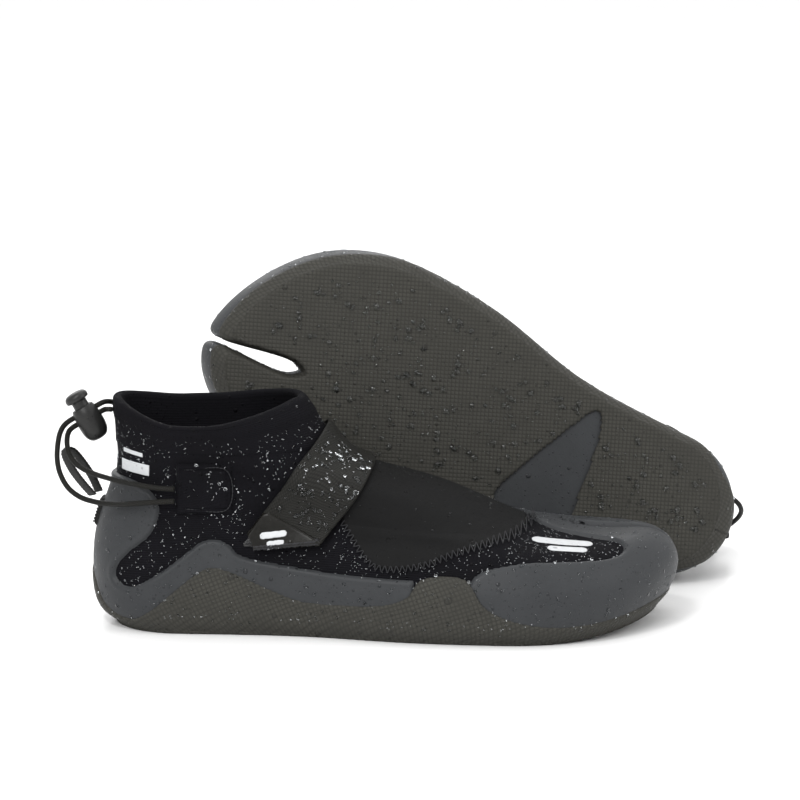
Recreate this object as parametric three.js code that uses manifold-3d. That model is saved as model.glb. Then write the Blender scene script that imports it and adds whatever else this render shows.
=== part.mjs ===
// A pair of split-toe neoprene surf boots. The right boot stands on its sole with its toe towards +X.
// The left boot lies on its inner side behind it, sole forward, with its toe propped on the right boot.
// Millimetres, +Z up. Each boot is built once in a right boot's own frame: x from heel to toe, y towards
// the big toe (medial), z up from the ground. The left boot is that boot mirrored.

import * as THREE from "three";
import { mergeVertices } from "three/addons/utils/BufferGeometryUtils.js";
import Module from "manifold-3d";

const wasm = await Module();
wasm.setup();

// ---- Driving dimensions -------------------------------------------------------------------------------
const bootLength = 280; // over the sole, heel to toe
const soleWidth = 108; // over the sole at the ball of the foot
const collarHeight = 107; // ground to the collar's rim
const neopreneWall = 3;
const collarWall = 4.6; // folded hem with the drawcord's tunnel in it
const collarProud = 0.6; // the hem stands this far outside the upper
const collarBand = 23; // the hem's depth below the rim at the heel
const lateralDip = 10; // the rim is lower under the ankle bones than at the heel
const medialDip = 5;
const gap = 0.3; // between glued or sewn faces
const soleThickness = 5.2; // ground to the upper's underside
const soleSideWall = 2.1;
const randWall = 1.5; // smooth rubber of the toe cap and the heel rand
const panelWall = 0.8; // instep panel and the loop pad
const insoleThickness = 2.5;
const insoleGap = 0.66; // it lies loose in the boot
const toeSpringRise = 10;
const cleftLength = 54; // the split between the big toe and the others
const cleftGap = 3; // half of its width at the widest
const strapWidth = 30.5;
const strapThickness = 1.8;
const padWidth = 24.5; // both halves of its fastening
const strapSlant = THREE.MathUtils.degToRad(36.5); // the strap's lean back from upright, seen from the side
const hookThickness = 0.7;
const tipThickness = 1.2;
const cordDiameter = 2.5;
const tunnelClearance = 0.35;
const pocketThickness = 2.8;
const webbingThickness = 1.3;
const webbingWidth = 10;
const lockRadius = 6.2;
const lockStemRadius = 3.7;
const buttonTravel = 3;
const lockTravel = buttonTravel + 0.3;
const runningClearance = 0.3;

// How the left boot lies.
const lieIncline = THREE.MathUtils.degToRad(24.4); // toe up
const lieLean = THREE.MathUtils.degToRad(-5.7); // sole turned slightly to the sky
const lieYaw = THREE.MathUtils.degToRad(7.4); // toe turned towards the right boot
const lieFrom = [305.6, 79.1]; // its heel, from the right boot's heel

// ---- The form of the upper ---------------------------------------------------------------------------
// Closed rings climb from the sole's edge to the rim. Each lies in a plane through a point on the back
// of the heel and a point on the ridge of the foot. Places are for a boot 280 long, 108 wide and 107 high.
const lengthShare = bootLength / 280;
const widthShare = soleWidth / 108;
const heightShare = collarHeight / 107;
const aroundCount = 28;
const rings = [
  // heel x, z; ridge x, z; length of the round at heel and toe; share of the foot's width, of the collar's
  { heel: [12, 5.2], ridge: [264, 5.2], round: [30, 58], foot: 0.93, collar: 0 },
  { heel: [6, 7.6], ridge: [269, 7.6], round: [33, 62], foot: 0.98, collar: 0 },
  { heel: [3, 14], ridge: [272.5, 13.5], round: [34, 64], foot: 1, collar: 0 },
  { heel: [2, 26], ridge: [273.5, 21], round: [34, 64], foot: 1, collar: 0 },
  { heel: [2.5, 38], ridge: [270, 29], round: [34, 62], foot: 0.96, collar: 0.05 },
  { heel: [4.5, 48], ridge: [260, 36], round: [34, 60], foot: 0.9, collar: 0.15 },
  { heel: [7.5, 57], ridge: [236, 40.5], round: [34, 62], foot: 0.84, collar: 0.3 },
  { heel: [10.5, 66], ridge: [206, 47], round: [34, 62], foot: 0.79, collar: 0.45 },
  { heel: [12, 76], ridge: [168, 63], round: [36, 54], foot: 0.77, collar: 0.65 },
  { heel: [12, 87], ridge: [126, 75], round: [40, 47], foot: 0.77, collar: 0.86 },
  { heel: [11.5, 98], ridge: [109, 91], round: [43, 46], foot: 0.77, collar: 0.96 },
  { heel: [10, 113], ridge: [95.5, 114], round: [44, 44], foot: 0.77, collar: 1 },
];
const lateralWidths = [[0, 33], [50, 34], [100, 38.5], [150, 52], [195, 58.5], [235, 59], [280, 56]];
const medialWidths = [[0, 32], [50, 33], [100, 31], [150, 37], [195, 45], [235, 46], [280, 42]];
const lateralToeRound = 1.2; // the outline falls away from the big toe to the little one
const medialToeRound = 0.8;
const collarHalfWidth = 34;
const camberStart = 120;
const camberAtToe = 8; // the toes lean to the medial side
const toeSlant = 0.15; // and the big toe reaches further forward than the little ones

// A smooth curve through [place, value] pairs: cubic between neighbours, flat past the ends.
function through(pairs, at) {
  const n = pairs.length;
  if (at <= pairs[0][0]) return pairs[0][1];
  if (at >= pairs[n - 1][0]) return pairs[n - 1][1];
  const i = pairs.findIndex((p, k) => k < n - 1 && at < pairs[k + 1][0]);
  const slope = (k) => {
    const a = pairs[Math.max(k - 1, 0)];
    const b = pairs[Math.min(k + 1, n - 1)];
    return (b[1] - a[1]) / (b[0] - a[0]);
  };
  const span = pairs[i + 1][0] - pairs[i][0];
  const t = (at - pairs[i][0]) / span;
  const h = [2 * t ** 3 - 3 * t ** 2 + 1, t ** 3 - 2 * t ** 2 + t, -2 * t ** 3 + 3 * t ** 2, t ** 3 - t ** 2];
  return h[0] * pairs[i][1] + h[1] * span * slope(i) + h[2] * pairs[i + 1][1] + h[3] * span * slope(i + 1);
}

function camber(x) {
  const past = Math.max(0, x / lengthShare - camberStart) / (280 - camberStart);
  return camberAtToe * past ** 2 * widthShare;
}

// How far a point of the outline is moved forward: nothing behind the toes, more towards the big toe.
function toeReach(x, y) {
  const past = Math.min(1.1, Math.max(0, x - 225) / 50);
  return toeSlant * (y - 16) * past ** 2;
}

function toeSpring(x) {
  return toeSpringRise * (Math.max(0, x / lengthShare - 200) / 80) ** 2;
}

// A quarter of an ellipse: 0 at an end of the outline, 1 from "round" inwards.
function rounding(distance, round) {
  const t = 1 - Math.min(1, Math.max(0, distance / round));
  return Math.sqrt(1 - t ** 2);
}

// One side of a ring from heel to ridge. side is -1 for lateral and 1 for medial.
function ringSide(ring, side, count) {
  const widths = side < 0 ? lateralWidths : medialWidths;
  const [heelX, ridgeX] = [ring.heel[0], ring.ridge[0]];
  const samples = 40;
  const outline = [];
  for (let i = 0; i <= samples; i++) {
    const x = heelX + (ridgeX - heelX) * (0.5 - 0.5 * Math.cos((Math.PI * i) / samples));
    const foot = through(widths, x) * ring.foot;
    const wide = foot * (1 - ring.collar) + collarHalfWidth * ring.collar;
    const toeRound = ring.round[1] * (side < 0 ? lateralToeRound : medialToeRound);
    const y = wide * rounding(x - heelX, ring.round[0]) * rounding(ridgeX - x, toeRound);
    const cambered = side * y + camber(x * lengthShare) / widthShare;
    outline.push(new THREE.Vector2((x + toeReach(x, cambered)) * lengthShare, cambered * widthShare));
  }
  const line = new THREE.SplineCurve(outline);
  // The points stand closer together round the heel and the toes.
  return Array.from({ length: count + 1 }, (_, i) => {
    const even = i / count;
    return line.getPointAt(0.5 * even + 0.25 * (1 - Math.cos(Math.PI * even)));
  });
}

// A ring's points in space, once round: lateral side from heel to ridge, then medial side back to the heel.
function ringPoints(ring) {
  const half = aroundCount / 2;
  const lateral = ringSide(ring, -1, half);
  const medial = ringSide(ring, 1, half);
  const flat = [...lateral.slice(0, half), ...medial.slice(1, half + 1).reverse()];
  const [x0, x1] = [ring.heel[0] * lengthShare, ring.ridge[0] * lengthShare];
  const lift = (z) => (z <= soleThickness ? z : soleThickness + (z - soleThickness) * heightShare);
  return flat.map((p) => {
    const share = (p.x - x0) / (x1 - x0);
    const z = lift(ring.heel[1]) * (1 - share) + lift(ring.ridge[1]) * share;
    return new THREE.Vector3(p.x, p.y, z + toeSpring(p.x));
  });
}

const grid = rings.map(ringPoints);

// The outward direction at each point of the grid, from its four neighbours.
const outward = grid.map((ring, i) =>
  ring.map((_, j) => {
    const around = new THREE.Vector3().subVectors(
      ring[(j + 1) % aroundCount],
      ring[(j + aroundCount - 1) % aroundCount],
    );
    const up = new THREE.Vector3().subVectors(
      grid[Math.min(i + 1, grid.length - 1)][j],
      grid[Math.max(i - 1, 0)][j],
    );
    return around.cross(up).normalize();
  }),
);

// ---- From geometry to solids and back ----------------------------------------------------------------
function toSolid(geometry) {
  const bare = geometry.index ? geometry.toNonIndexed() : geometry.clone();
  const merged = mergeVertices(new THREE.BufferGeometry().setAttribute("position", bare.attributes.position), 1e-4);
  return new wasm.Manifold(
    new wasm.Mesh({
      numProp: 3,
      vertProperties: merged.attributes.position.array,
      triVerts: new Uint32Array(merged.index.array),
    }),
  );
}

function toGeometry(solid) {
  const mesh = solid.getMesh();
  return new THREE.BufferGeometry()
    .setAttribute("position", new THREE.BufferAttribute(mesh.vertProperties, 3))
    .setIndex(new THREE.BufferAttribute(mesh.triVerts, 1));
}

// The largest piece of a solid, without the slivers that a cut can leave.
function mainPiece(solid) {
  return solid.decompose().sort((a, b) => b.volume() - a.volume())[0];
}

// A solid prism with an outline seen from the side, [x, z] points, from one y to another.
function sidePrism(outline, fromY, toY) {
  const shape = new THREE.Shape(outline.map(([x, z]) => new THREE.Vector2(x, z)));
  const prism = new THREE.ExtrudeGeometry(shape, { depth: toY - fromY, bevelEnabled: false, steps: 1 });
  return toSolid(prism.rotateX(Math.PI / 2).translate(0, toY, 0));
}

// A solid prism with an outline seen from above, [x, y] points, from one z to another.
function planPrism(outline, fromZ, toZ) {
  const shape = new THREE.Shape(outline.map(([x, y]) => new THREE.Vector2(x, y)));
  const prism = new THREE.ExtrudeGeometry(shape, { depth: toZ - fromZ, bevelEnabled: false, steps: 1 });
  return toSolid(prism.translate(0, 0, fromZ));
}

// A smooth line through a few [a, b] points, as closer points, moved sideways by shift (to its left).
function smoothLine(points, perSpan = 2, shift = 0) {
  const curve = new THREE.SplineCurve(points.map(([a, b]) => new THREE.Vector2(a, b)));
  const count = perSpan * (points.length - 1);
  const line = [];
  for (let i = 0; i <= count; i++) {
    const p = curve.getPoint(i / count);
    const t = curve.getTangent(i / count);
    line.push([p.x - t.y * shift, p.y + t.x * shift]);
  }
  return line;
}

// A round bar along a curve, closed at both ends.
function tube(curve, radius, steps, sides = 8) {
  const section = new THREE.Shape();
  for (let i = 0; i < sides; i++) {
    const a = ((i + 0.5) / sides) * 2 * Math.PI;
    if (i === 0) section.moveTo(radius * Math.cos(a), radius * Math.sin(a));
    else section.lineTo(radius * Math.cos(a), radius * Math.sin(a));
  }
  return new THREE.ExtrudeGeometry(section, { extrudePath: curve, steps, bevelEnabled: false });
}

// ---- The foot's solid, grown or shrunk ---------------------------------------------------------------
const far = 400;
const outerLayer = gap + soleSideWall; // the sole's side, the outermost layer at the toes

// Half of the cleft's width, at a distance from its inner end.
const cleftShape = [[0, 0], [3, 0.7], [8, 1], [16, 0.95], [27, 0.6], [38, 0.28], [47, 0.2], [90, 0.2]];
const cleftEnd = bootLength - cleftLength;
const cleftLean = 0.05; // it runs this far to the medial side for each millimetre forward
const cleftOffset = 10.8 * widthShare;

// The cleft's own prism for a layer: the lobes' walls keep the same thickness inside it as outside.
function cleftPrism(layer) {
  const inner = outerLayer - layer;
  const half = (x) => Math.max(through(cleftShape, x - cleftEnd) * cleftGap + inner, 0.1);
  const middle = (x) => cleftOffset + (x - cleftEnd) * cleftLean;
  const stations = cleftShape.map(([s]) => cleftEnd + s);
  const lateral = stations.map((x) => [x, middle(x) - half(x)]);
  const medial = stations.map((x) => [x, middle(x) + half(x)]);
  const end = [cleftEnd - Math.max(inner, 0.1), middle(cleftEnd)];
  return planPrism([end, ...lateral, ...medial.reverse()], -far, far);
}

// The whole foot and ankle as one solid whose sides stand "layer" outside the neoprene's outer face and
// whose underside stands "below" outside it. It runs on a little above the rim.
function footSolid(layer, below = layer) {
  const positions = [];
  const rows = grid.map((ring, i) =>
    ring.map((p, j) => {
      const n = outward[i][j];
      const down = i === 0 ? -below : n.z * (n.z < 0 ? below : layer);
      const side = i === 0 && layer > 0 ? layer * 0.5 : layer;
      const lowest = i > 0 && layer < 0 ? grid[0][j].z - below + 0.3 * i : -far;
      positions.push(p.x + n.x * side, p.y + n.y * side, Math.max(p.z + down, lowest));
      return positions.length / 3 - 1;
    }),
  );
  const index = [];
  for (let i = 0; i < rows.length - 1; i++) {
    for (let j = 0; j < aroundCount; j++) {
      const k = (j + 1) % aroundCount;
      index.push(rows[i][j], rows[i][k], rows[i + 1][k], rows[i][j], rows[i + 1][k], rows[i + 1][j]);
    }
  }
  // The underside and the top are strips between the two sides of their ring.
  const cap = (row, flip) => {
    const half = aroundCount / 2;
    for (let j = 0; j < half; j++) {
      const [a, b] = [row[j], row[j + 1]];
      const [c, d] = [row[(aroundCount - j) % aroundCount], row[aroundCount - j - 1]];
      const faces = j === 0 ? [[a, d, b]] : j === half - 1 ? [[a, c, b]] : [[a, c, b], [c, d, b]];
      faces.forEach(([p, q, r]) => (flip ? index.push(p, r, q) : index.push(p, q, r)));
    }
  };
  cap(rows[0], false);
  cap(rows[rows.length - 1], true);
  const geometry = new THREE.BufferGeometry()
    .setAttribute("position", new THREE.Float32BufferAttribute(positions, 3))
    .setIndex(index);
  return toSolid(geometry).subtract(cleftPrism(layer));
}

// ---- Lines of the pattern, seen from the side --------------------------------------------------------
const scaled = (points) => points.map(([x, z]) => [x * lengthShare, z * heightShare]);
const soleLine = scaled([
  [-12, 34], [0, 31], [8, 13.5], [19, 8], [29, 11.5], [41, 21.5], [52, 30], [59, 32.2], [68, 30], [85, 23],
  [100, 18], [118, 17.2], [137, 18.5], [148, 22.5], [154, 29.5], [165, 31.5], [176, 29.5], [183, 20], [194, 14],
  [210, 10.8], [228, 10.6], [248, 13], [266, 16.5], [296, 19],
]);
const randLine = scaled([
  [-12, 71], [8, 71], [22, 70], [31, 64.5], [33.5, 55.5], [29, 45.5], [20, 38], [14, 31], [13.5, 24.5], [20, 21.2],
  [29, 25.5], [38, 31.5], [47, 38.5], [53, 43], [60, 44.2], [66, 41.7], [72, 36.8], [90, 33.4], [116, 30.3],
  [140, 29.4], [152, 29.4],
]);
// The toe cap's back edge, seen from above: it leaves a tongue of neoprene on the lateral shoulder.
const capLine = [
  [171, -70], [176, -54], [198, -49.5], [220, -44.5], [238, -36.5], [247, -26.5], [244, -18], [231, -13.5],
  [218, -8], [208, 1], [203, 12], [199, 26], [191, 40], [182, 52], [176, 70],
].map(([x, y]) => [x * lengthShare, y * widthShare]);

const collarBottom = collarHeight - collarBand;

const below = (line) => [...line, [far, line[line.length - 1][1]], [far, -far], [-far, -far], [-far, line[0][1]]];

// ---- Solids that several pieces are cut from ---------------------------------------------------------
const upperOuter = footSolid(0);
const upperInner = footSolid(-neopreneWall);
const gluedOn = footSolid(gap); // what lies against the upper starts here
const randOuter = footSolid(gap + randWall);
const panelOuter = footSolid(gap + panelWall);
const rubberLayer = randOuter.subtract(gluedOn);
const panelLayer = panelOuter.subtract(gluedOn);

// How far the rim is below its height at the heel.
const dipShape = [[11, 0], [22, 0.5], [36, 0.95], [48, 1], [62, 0.92], [82, 0.45], [96, 0]];
const rimDrop = (x, dip) => through(dipShape, x / lengthShare) * dip;
const rimSide = (dip) => dipShape.map(([x]) => [x * lengthShare, collarHeight - rimDrop(x * lengthShare, dip)]);
const underRim = sidePrism(below([[-far, collarHeight], ...rimSide(lateralDip)]), -far, 0).add(
  sidePrism(below([[-far, collarHeight], ...rimSide(medialDip)]), 0, far),
);

// ---- Upper, collar and sole --------------------------------------------------------------------------
function neopreneUpper() {
  const top = collarBottom - gap / 2;
  const belowCollar = sidePrism([[-far, -far], [far, -far], [far, top], [-far, top]], -far, far);
  return upperOuter.intersect(belowCollar).subtract(upperInner);
}

// The cord's way round the collar, from its lateral mouth round the front to its medial mouth.
const collarMiddle = collarProud - collarWall / 2;
const tunnelDrop = 6.2; // from the rim to the tunnel's middle
const mouthY = 7.5; // the two mouths are this far either side of the heel's middle
const mouthX = 10.6;

function collarRoute() {
  // Up each column of the grid to the tunnel's height, then in to the middle of the hem.
  const onColumn = (j) => {
    const dip = j < aroundCount / 2 ? lateralDip : medialDip;
    const height = (p) => p.z - (collarHeight - tunnelDrop - rimDrop(p.x, dip));
    const i = grid.findIndex((ring) => height(ring[j]) > 0);
    const share = height(grid[i][j]) / (height(grid[i][j]) - height(grid[i - 1][j]));
    const place = grid[i][j].clone().lerp(grid[i - 1][j], share);
    return place.addScaledVector(outward[i][j].clone().lerp(outward[i - 1][j], share), collarMiddle);
  };
  const columns = Array.from({ length: aroundCount - 3 }, (_, j) => onColumn(j + 2));
  const leave = (side) => new THREE.Vector3(mouthX - 12, side * (mouthY - 4), columns[0].z);
  return new THREE.CatmullRomCurve3([leave(-1), ...columns, leave(1)]);
}

function ankleCollar() {
  const outer = footSolid(collarProud);
  const inner = footSolid(collarProud - collarWall);
  const bottom = collarBottom + gap / 2;
  const aboveSeam = sidePrism([[-far, bottom], [far, bottom], [far, far], [-far, far]], -far, far);
  const tunnel = toSolid(tube(collarRoute(), cordDiameter / 2 + tunnelClearance, 30, 6));
  return mainPiece(outer.intersect(underRim).intersect(aboveSeam).subtract(inner).subtract(tunnel));
}

// The stretch of drawcord inside the collar, cut off just inside its two mouths.
function collarCord() {
  const cord = toSolid(tube(collarRoute(), cordDiameter / 2, 30));
  const inside = sidePrism([[mouthX + 2, 0], [far, 0], [far, far], [mouthX + 2, far]], -far, far);
  return mainPiece(cord.intersect(inside));
}

function archWindow(grow) {
  // Seen from above: its point is near the lateral edge, and it opens to the medial side.
  const g = grow;
  return [
    [80 - g, -14], [83 - g, -26], [87, -31 - g], [91 + g, -27], [100 + g, -11], [109 + g, 6], [117 + g, 22],
    [126 + g, 80], [77 - g, 80], [78 - g, 20],
  ].map(([x, y]) => [x * lengthShare, y * widthShare]);
}

function outsole() {
  const outer = footSolid(outerLayer, soleThickness);
  const cut = sidePrism(below(smoothLine(soleLine)), -far, far);
  const window = planPrism(archWindow(0), -far, 17.5 * heightShare);
  return mainPiece(outer.intersect(cut).subtract(gluedOn).subtract(window));
}

// The smooth rubber shank under the arch, let into the sole's window.
function archPanel() {
  const recess = 1.4;
  const outer = footSolid(gap + randWall, soleThickness - recess);
  const shape = planPrism(archWindow(-gap), -far, 15.5 * heightShare);
  return mainPiece(outer.subtract(gluedOn).intersect(shape));
}

function heelRand() {
  const upperEdge = smoothLine(randLine);
  const ends = 151 * lengthShare;
  const region = sidePrism(below(upperEdge.filter(([x]) => x < ends)), -far, far);
  const soleCut = sidePrism(below(smoothLine(soleLine, 2, gap)), -far, far);
  const frontCut = sidePrism([[ends, -far], [far, -far], [far, far], [ends, far]], -far, far);
  return mainPiece(rubberLayer.intersect(region).subtract(soleCut).subtract(frontCut));
}

function toeCap() {
  const line = smoothLine(capLine);
  const region = planPrism([...line, [far, 70 * widthShare], [far, -70 * widthShare]], -far, far);
  const soleCut = sidePrism(below(smoothLine(soleLine, 2, gap)), -far, far);
  return mainPiece(rubberLayer.intersect(region).subtract(soleCut));
}

function insole() {
  const inner = footSolid(-neopreneWall - insoleGap);
  const top = soleThickness + neopreneWall + insoleGap + insoleThickness;
  const footbed = [[-5, 1.6], [18, 0.5], [45, 0], [80, 0.9], [108, 1.3], [136, 0.7], [165, 0], [190, 0.2], [210, 0]];
  const toes = [[230, 0], [250, 0], [270, 0], [300, 0]];
  const rise = [...footbed, ...toes].map(([x, crown]) => [x * lengthShare, top + crown + toeSpring(x * lengthShare)]);
  return mainPiece(inner.intersect(sidePrism(below([[-far, top + footbed[0][1]], ...rise]), -far, far)));
}

// The smooth stretch panel over the instep, between the strap and the toes.
function instepPanel() {
  const edge = smoothLine(
    scaled([[118, 53.5], [129, 38], [137, 33.8], [154, 35.5], [170, 41], [185, 44.5], [196, 46], [207, 48.5]]),
  );
  const over = scaled([[215, 75], [150, 110], [121, 86.5], [117, 76]]);
  const capCut = planPrism([...smoothLine(capLine, 2, gap), [far, 70], [far, -70]], -far, far);
  return mainPiece(panelLayer.intersect(sidePrism([...edge, ...over], -far, far)).subtract(capCut));
}

// ---- The strap ---------------------------------------------------------------------------------------
// The strap is a band in a plane that leans back from upright: across it runs u (forwards and down),
// along it runs s (up). Its middle passes through strapMiddle.
const strapMiddle = [103.2 * lengthShare, 60.5 * heightShare];
const hookLayer = gap + panelWall + gap;
const strapLayer = hookLayer + hookThickness + gap;
const tipLayer = strapLayer + strapThickness + gap;

function onBand(u, s) {
  return [
    strapMiddle[0] + u * Math.cos(strapSlant) + s * Math.sin(strapSlant),
    strapMiddle[1] - u * Math.sin(strapSlant) + s * Math.cos(strapSlant),
  ];
}

function band(inset, fromS, toS) {
  const u = strapWidth / 2 - inset;
  return [onBand(-u, fromS), onBand(u, fromS), onBand(u, toS), onBand(-u, toS)];
}

const strapOuter = footSolid(strapLayer + strapThickness);
const strapSheet = strapOuter.subtract(footSolid(strapLayer));
const hingeY = camber(strapMiddle[0]); // the tail turns where the strap crosses the foot's ridge
const strapEnd = scaled([[40, 37], [70, 39], [109, 42.5], [140, 45]]); // the tail's cut end
const beyondEnd = sidePrism(below(strapEnd), -far, far);
const tailReach = 80;

function strapTail() {
  const shape = sidePrism(band(0, -tailReach, tailReach), -far, hingeY - gap / 2);
  return mainPiece(strapSheet.intersect(shape).subtract(beyondEnd));
}

function strapBase() {
  const shape = sidePrism(band(0, -tailReach, tailReach), hingeY + gap / 2, far);
  const root = scaled([[40, 34], [140, 38]]);
  return mainPiece(strapSheet.intersect(shape).subtract(sidePrism(below(root), -far, far)));
}

function strapPad(inner, outer) {
  const margin = (strapWidth - padWidth) / 2;
  const top = scaled([[40, 56], [140, 56]]);
  const low = scaled([[40, 42], [70, 42.5], [109, 46], [140, 48]]);
  const shape = sidePrism(band(margin, -tailReach, tailReach), -far, hingeY);
  const layer = footSolid(outer).subtract(footSolid(inner));
  const above = sidePrism(below(low), -far, far);
  return mainPiece(layer.intersect(shape).intersect(sidePrism(below(top), -far, far)).subtract(above));
}

// The moulded end of the strap, a blunt triangle over the tail's last stretch.
function strapTip() {
  const outline = scaled([[69.5, 39.2], [109, 42.7], [108, 44.5], [84.5, 57.8], [82, 57.2]]);
  const layer = footSolid(tipLayer + tipThickness).subtract(footSolid(tipLayer));
  const tipShape = sidePrism(outline, -far, hingeY);
  const bandShape = sidePrism(band(0, -tailReach, tailReach), -far, far);
  return mainPiece(layer.intersect(tipShape).intersect(bandShape));
}

// ---- Cord pocket on the lateral side -----------------------------------------------------------------
const pocketFrom = [42, 56];
const pocketTo = [68, 80];

function cordPocket() {
  const layer = footSolid(gap + pocketThickness).subtract(gluedOn);
  const [x0, z0] = [pocketFrom[0] * lengthShare, pocketFrom[1] * heightShare];
  const [x1, z1] = [pocketTo[0] * lengthShare, pocketTo[1] * heightShare];
  return mainPiece(layer.intersect(sidePrism([[x0, z0], [x1, z0], [x1, z1], [x0, z1]], -far, 0)));
}

// ---- Heel pull tab -----------------------------------------------------------------------------------
function strip(centre, thickness, width) {
  const line = new THREE.SplineCurve(centre.map(([x, z]) => new THREE.Vector2(x, z)));
  const count = 2 * (centre.length - 1);
  const one = [];
  const other = [];
  for (let i = 0; i <= count; i++) {
    const p = line.getPoint(i / count);
    const t = line.getTangent(i / count);
    one.push([p.x - (t.y * thickness) / 2, p.y + (t.x * thickness) / 2]);
    other.push([p.x + (t.y * thickness) / 2, p.y - (t.x * thickness) / 2]);
  }
  return sidePrism([...one, ...other.reverse()], -width / 2, width / 2);
}

const tabPivot = [1.2 * lengthShare, 58 * heightShare];
const tabTwist = THREE.MathUtils.degToRad(30); // the loop's face is turned to the lateral side

function pullTab() {
  const loop = [
    [2.2, 2.4], [-1, 9.5], [-5.6, 16.6], [-9.8, 21.6], [-12.8, 22.6], [-13.6, 19.8], [-10.6, 13], [-6, 6.6], [-1, 0.9],
  ];
  const along = new THREE.Vector3(-0.49, 0, 0.87);
  const turn = new THREE.Matrix4().makeRotationAxis(along, tabTwist).setPosition(tabPivot[0], 0, tabPivot[1]);
  return toSolid(toGeometry(strip(loop, webbingThickness, webbingWidth)).applyMatrix4(turn));
}

// The sewn end of the webbing, flat on the heel.
function tabAnchor() {
  const layer = footSolid(gap + randWall + gap + webbingThickness).subtract(footSolid(gap + randWall + gap));
  const [low, high] = [45 * heightShare, tabPivot[1] - 1.6];
  const shape = sidePrism([[-far, low], [30, low], [30, high], [-far, high]], -webbingWidth / 2, webbingWidth / 2);
  return mainPiece(layer.intersect(shape));
}

// ---- Cord lock ---------------------------------------------------------------------------------------
// In its own frame: +Y along the plunger towards the button, +X along the cords towards the collar.
const lockPlace = [-2, 0, 96.5];
const lockTilt = THREE.MathUtils.degToRad(30);
const strandSpacing = 3.4;
const slotWidth = cordDiameter + 2 * runningClearance;
const slotHeight = strandSpacing + slotWidth;
const boreRadius = lockStemRadius + runningClearance;
const bodyTop = 4.5;
const bodyBottom = -12.5;
const boreBottom = -11;
const stemBottom = -slotHeight / 2 - 1.5;
const capBottom = bodyTop + lockTravel + 0.3;
const buttonRadius = 5.6;
const lockSides = 12;

function lathe(profile) {
  const points = profile.map(([r, y]) => new THREE.Vector2(r, y));
  return toSolid(new THREE.LatheGeometry(points, lockSides));
}

// A round-ended slot through the lock, along X.
function slotThrough(width, from, to) {
  const r = width / 2;
  const shape = new THREE.Shape();
  shape.absarc(0, to - r, r, 0, Math.PI, false);
  shape.absarc(0, from + r, r, Math.PI, 2 * Math.PI, false);
  const prism = new THREE.ExtrudeGeometry(shape, { depth: 4 * lockRadius, bevelEnabled: false, curveSegments: 4 });
  return toSolid(prism.translate(0, 0, -2 * lockRadius).rotateY(Math.PI / 2));
}

function lockBody() {
  const r = lockRadius;
  const shell = lathe([
    [0, bodyBottom], [r * 0.55, bodyBottom + 0.8], [r * 0.86, bodyBottom + 3], [r, bodyBottom + 6.4],
    [r, bodyTop - 4], [r * 0.9, bodyTop - 1], [r * 0.78, bodyTop], [boreRadius, bodyTop], [boreRadius, boreBottom],
    [0, boreBottom],
  ]);
  return shell.subtract(slotThrough(slotWidth, -slotHeight / 2, slotHeight / 2));
}

function lockButton() {
  const r = buttonRadius;
  const s = lockStemRadius;
  const stem = lathe([
    [0, stemBottom], [s, stemBottom], [s, capBottom], [r, capBottom], [r, capBottom + 1.6], [r * 0.82, capBottom + 3.2],
    [r * 0.4, capBottom + 4], [0, capBottom + 4.1],
  ]);
  return stem.subtract(slotThrough(slotWidth, -slotHeight / 2, slotHeight / 2 + lockTravel));
}

class Helix extends THREE.Curve {
  constructor(radius, from, to, turns) {
    super();
    Object.assign(this, { radius, from, to, turns });
  }
  getPoint(t, target = new THREE.Vector3()) {
    const a = 2 * Math.PI * this.turns * t;
    return target.set(this.radius * Math.cos(a), this.from + (this.to - this.from) * t, this.radius * Math.sin(a));
  }
}

// The spring is drawn at the length it has when the button is pressed right in.
function lockSpring() {
  const wire = 0.35;
  const clear = gap + wire;
  return toSolid(tube(new Helix(2.7, boreBottom + clear, stemBottom - buttonTravel - clear, 2.5), wire, 20, 4));
}

// ---- The two free stretches of drawcord --------------------------------------------------------------
// Each leaves a mouth of the collar, passes the lock, hangs in a loop behind the heel and goes into the
// pocket on the lateral side. The points are the cord's own route, in the boot's frame.
const outerStrandPoints = [
  [10, 7, 101.4], [8.2, 4.6, 102.3], [5.8, 1.3, 102.6], [2.87, 0, 101.27], [-2.85, 0, 97.97], [-10.82, 0, 93.37],
  [-13.9, -1.8, 89.7], [-15.1, -5.2, 84.3], [-15.1, -9.2, 77.4], [-13.4, -12.4, 71], [-9.6, -14.8, 65],
  [-4, -16.4, 61], [2.5, -18.2, 59.2], [9, -21.2, 58.8], [15.5, -25.6, 59.4], [22, -30, 60.6], [29, -33.4, 61.8],
  [35, -35.4, 62.6], [41.2, -36, 63],
];
const innerStrandPoints = [
  [10, -7.2, 100.6], [9.2, -5, 100.3], [7.8, -1.8, 99.7], [5.6, 0, 98.93], [-1.15, 0, 95.03], [-8.7, 0, 90.67],
  [-10.8, -1.4, 87.9], [-10.9, -4.8, 84], [-9.6, -8.6, 79.8], [-6.6, -11.6, 76.2], [-2.4, -13.8, 73.6],
  [3, -16.4, 71.8], [9, -19.4, 70.6], [15, -23.2, 69.8], [21.5, -27.4, 69.4], [28, -31.4, 69], [34.5, -34, 68.6],
  [41.2, -34.8, 68.4],
];

// Ahead of the lock the points keep pace with the boot's sizes, so that a strand still meets mouth and pocket.
function strand(points) {
  const route = points.map(([x, y, z]) => {
    const share = Math.min(1, Math.max(0, (x - 5) / 5));
    const grown = (size) => 1 + share * (size - 1);
    return new THREE.Vector3(x * grown(lengthShare), y * grown(widthShare), z * grown(heightShare));
  });
  const curve = new THREE.CatmullRomCurve3(route);
  const steps = Math.round(curve.getLength() / (2.4 * cordDiameter));
  return toSolid(tube(curve, cordDiameter / 2, steps));
}

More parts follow.
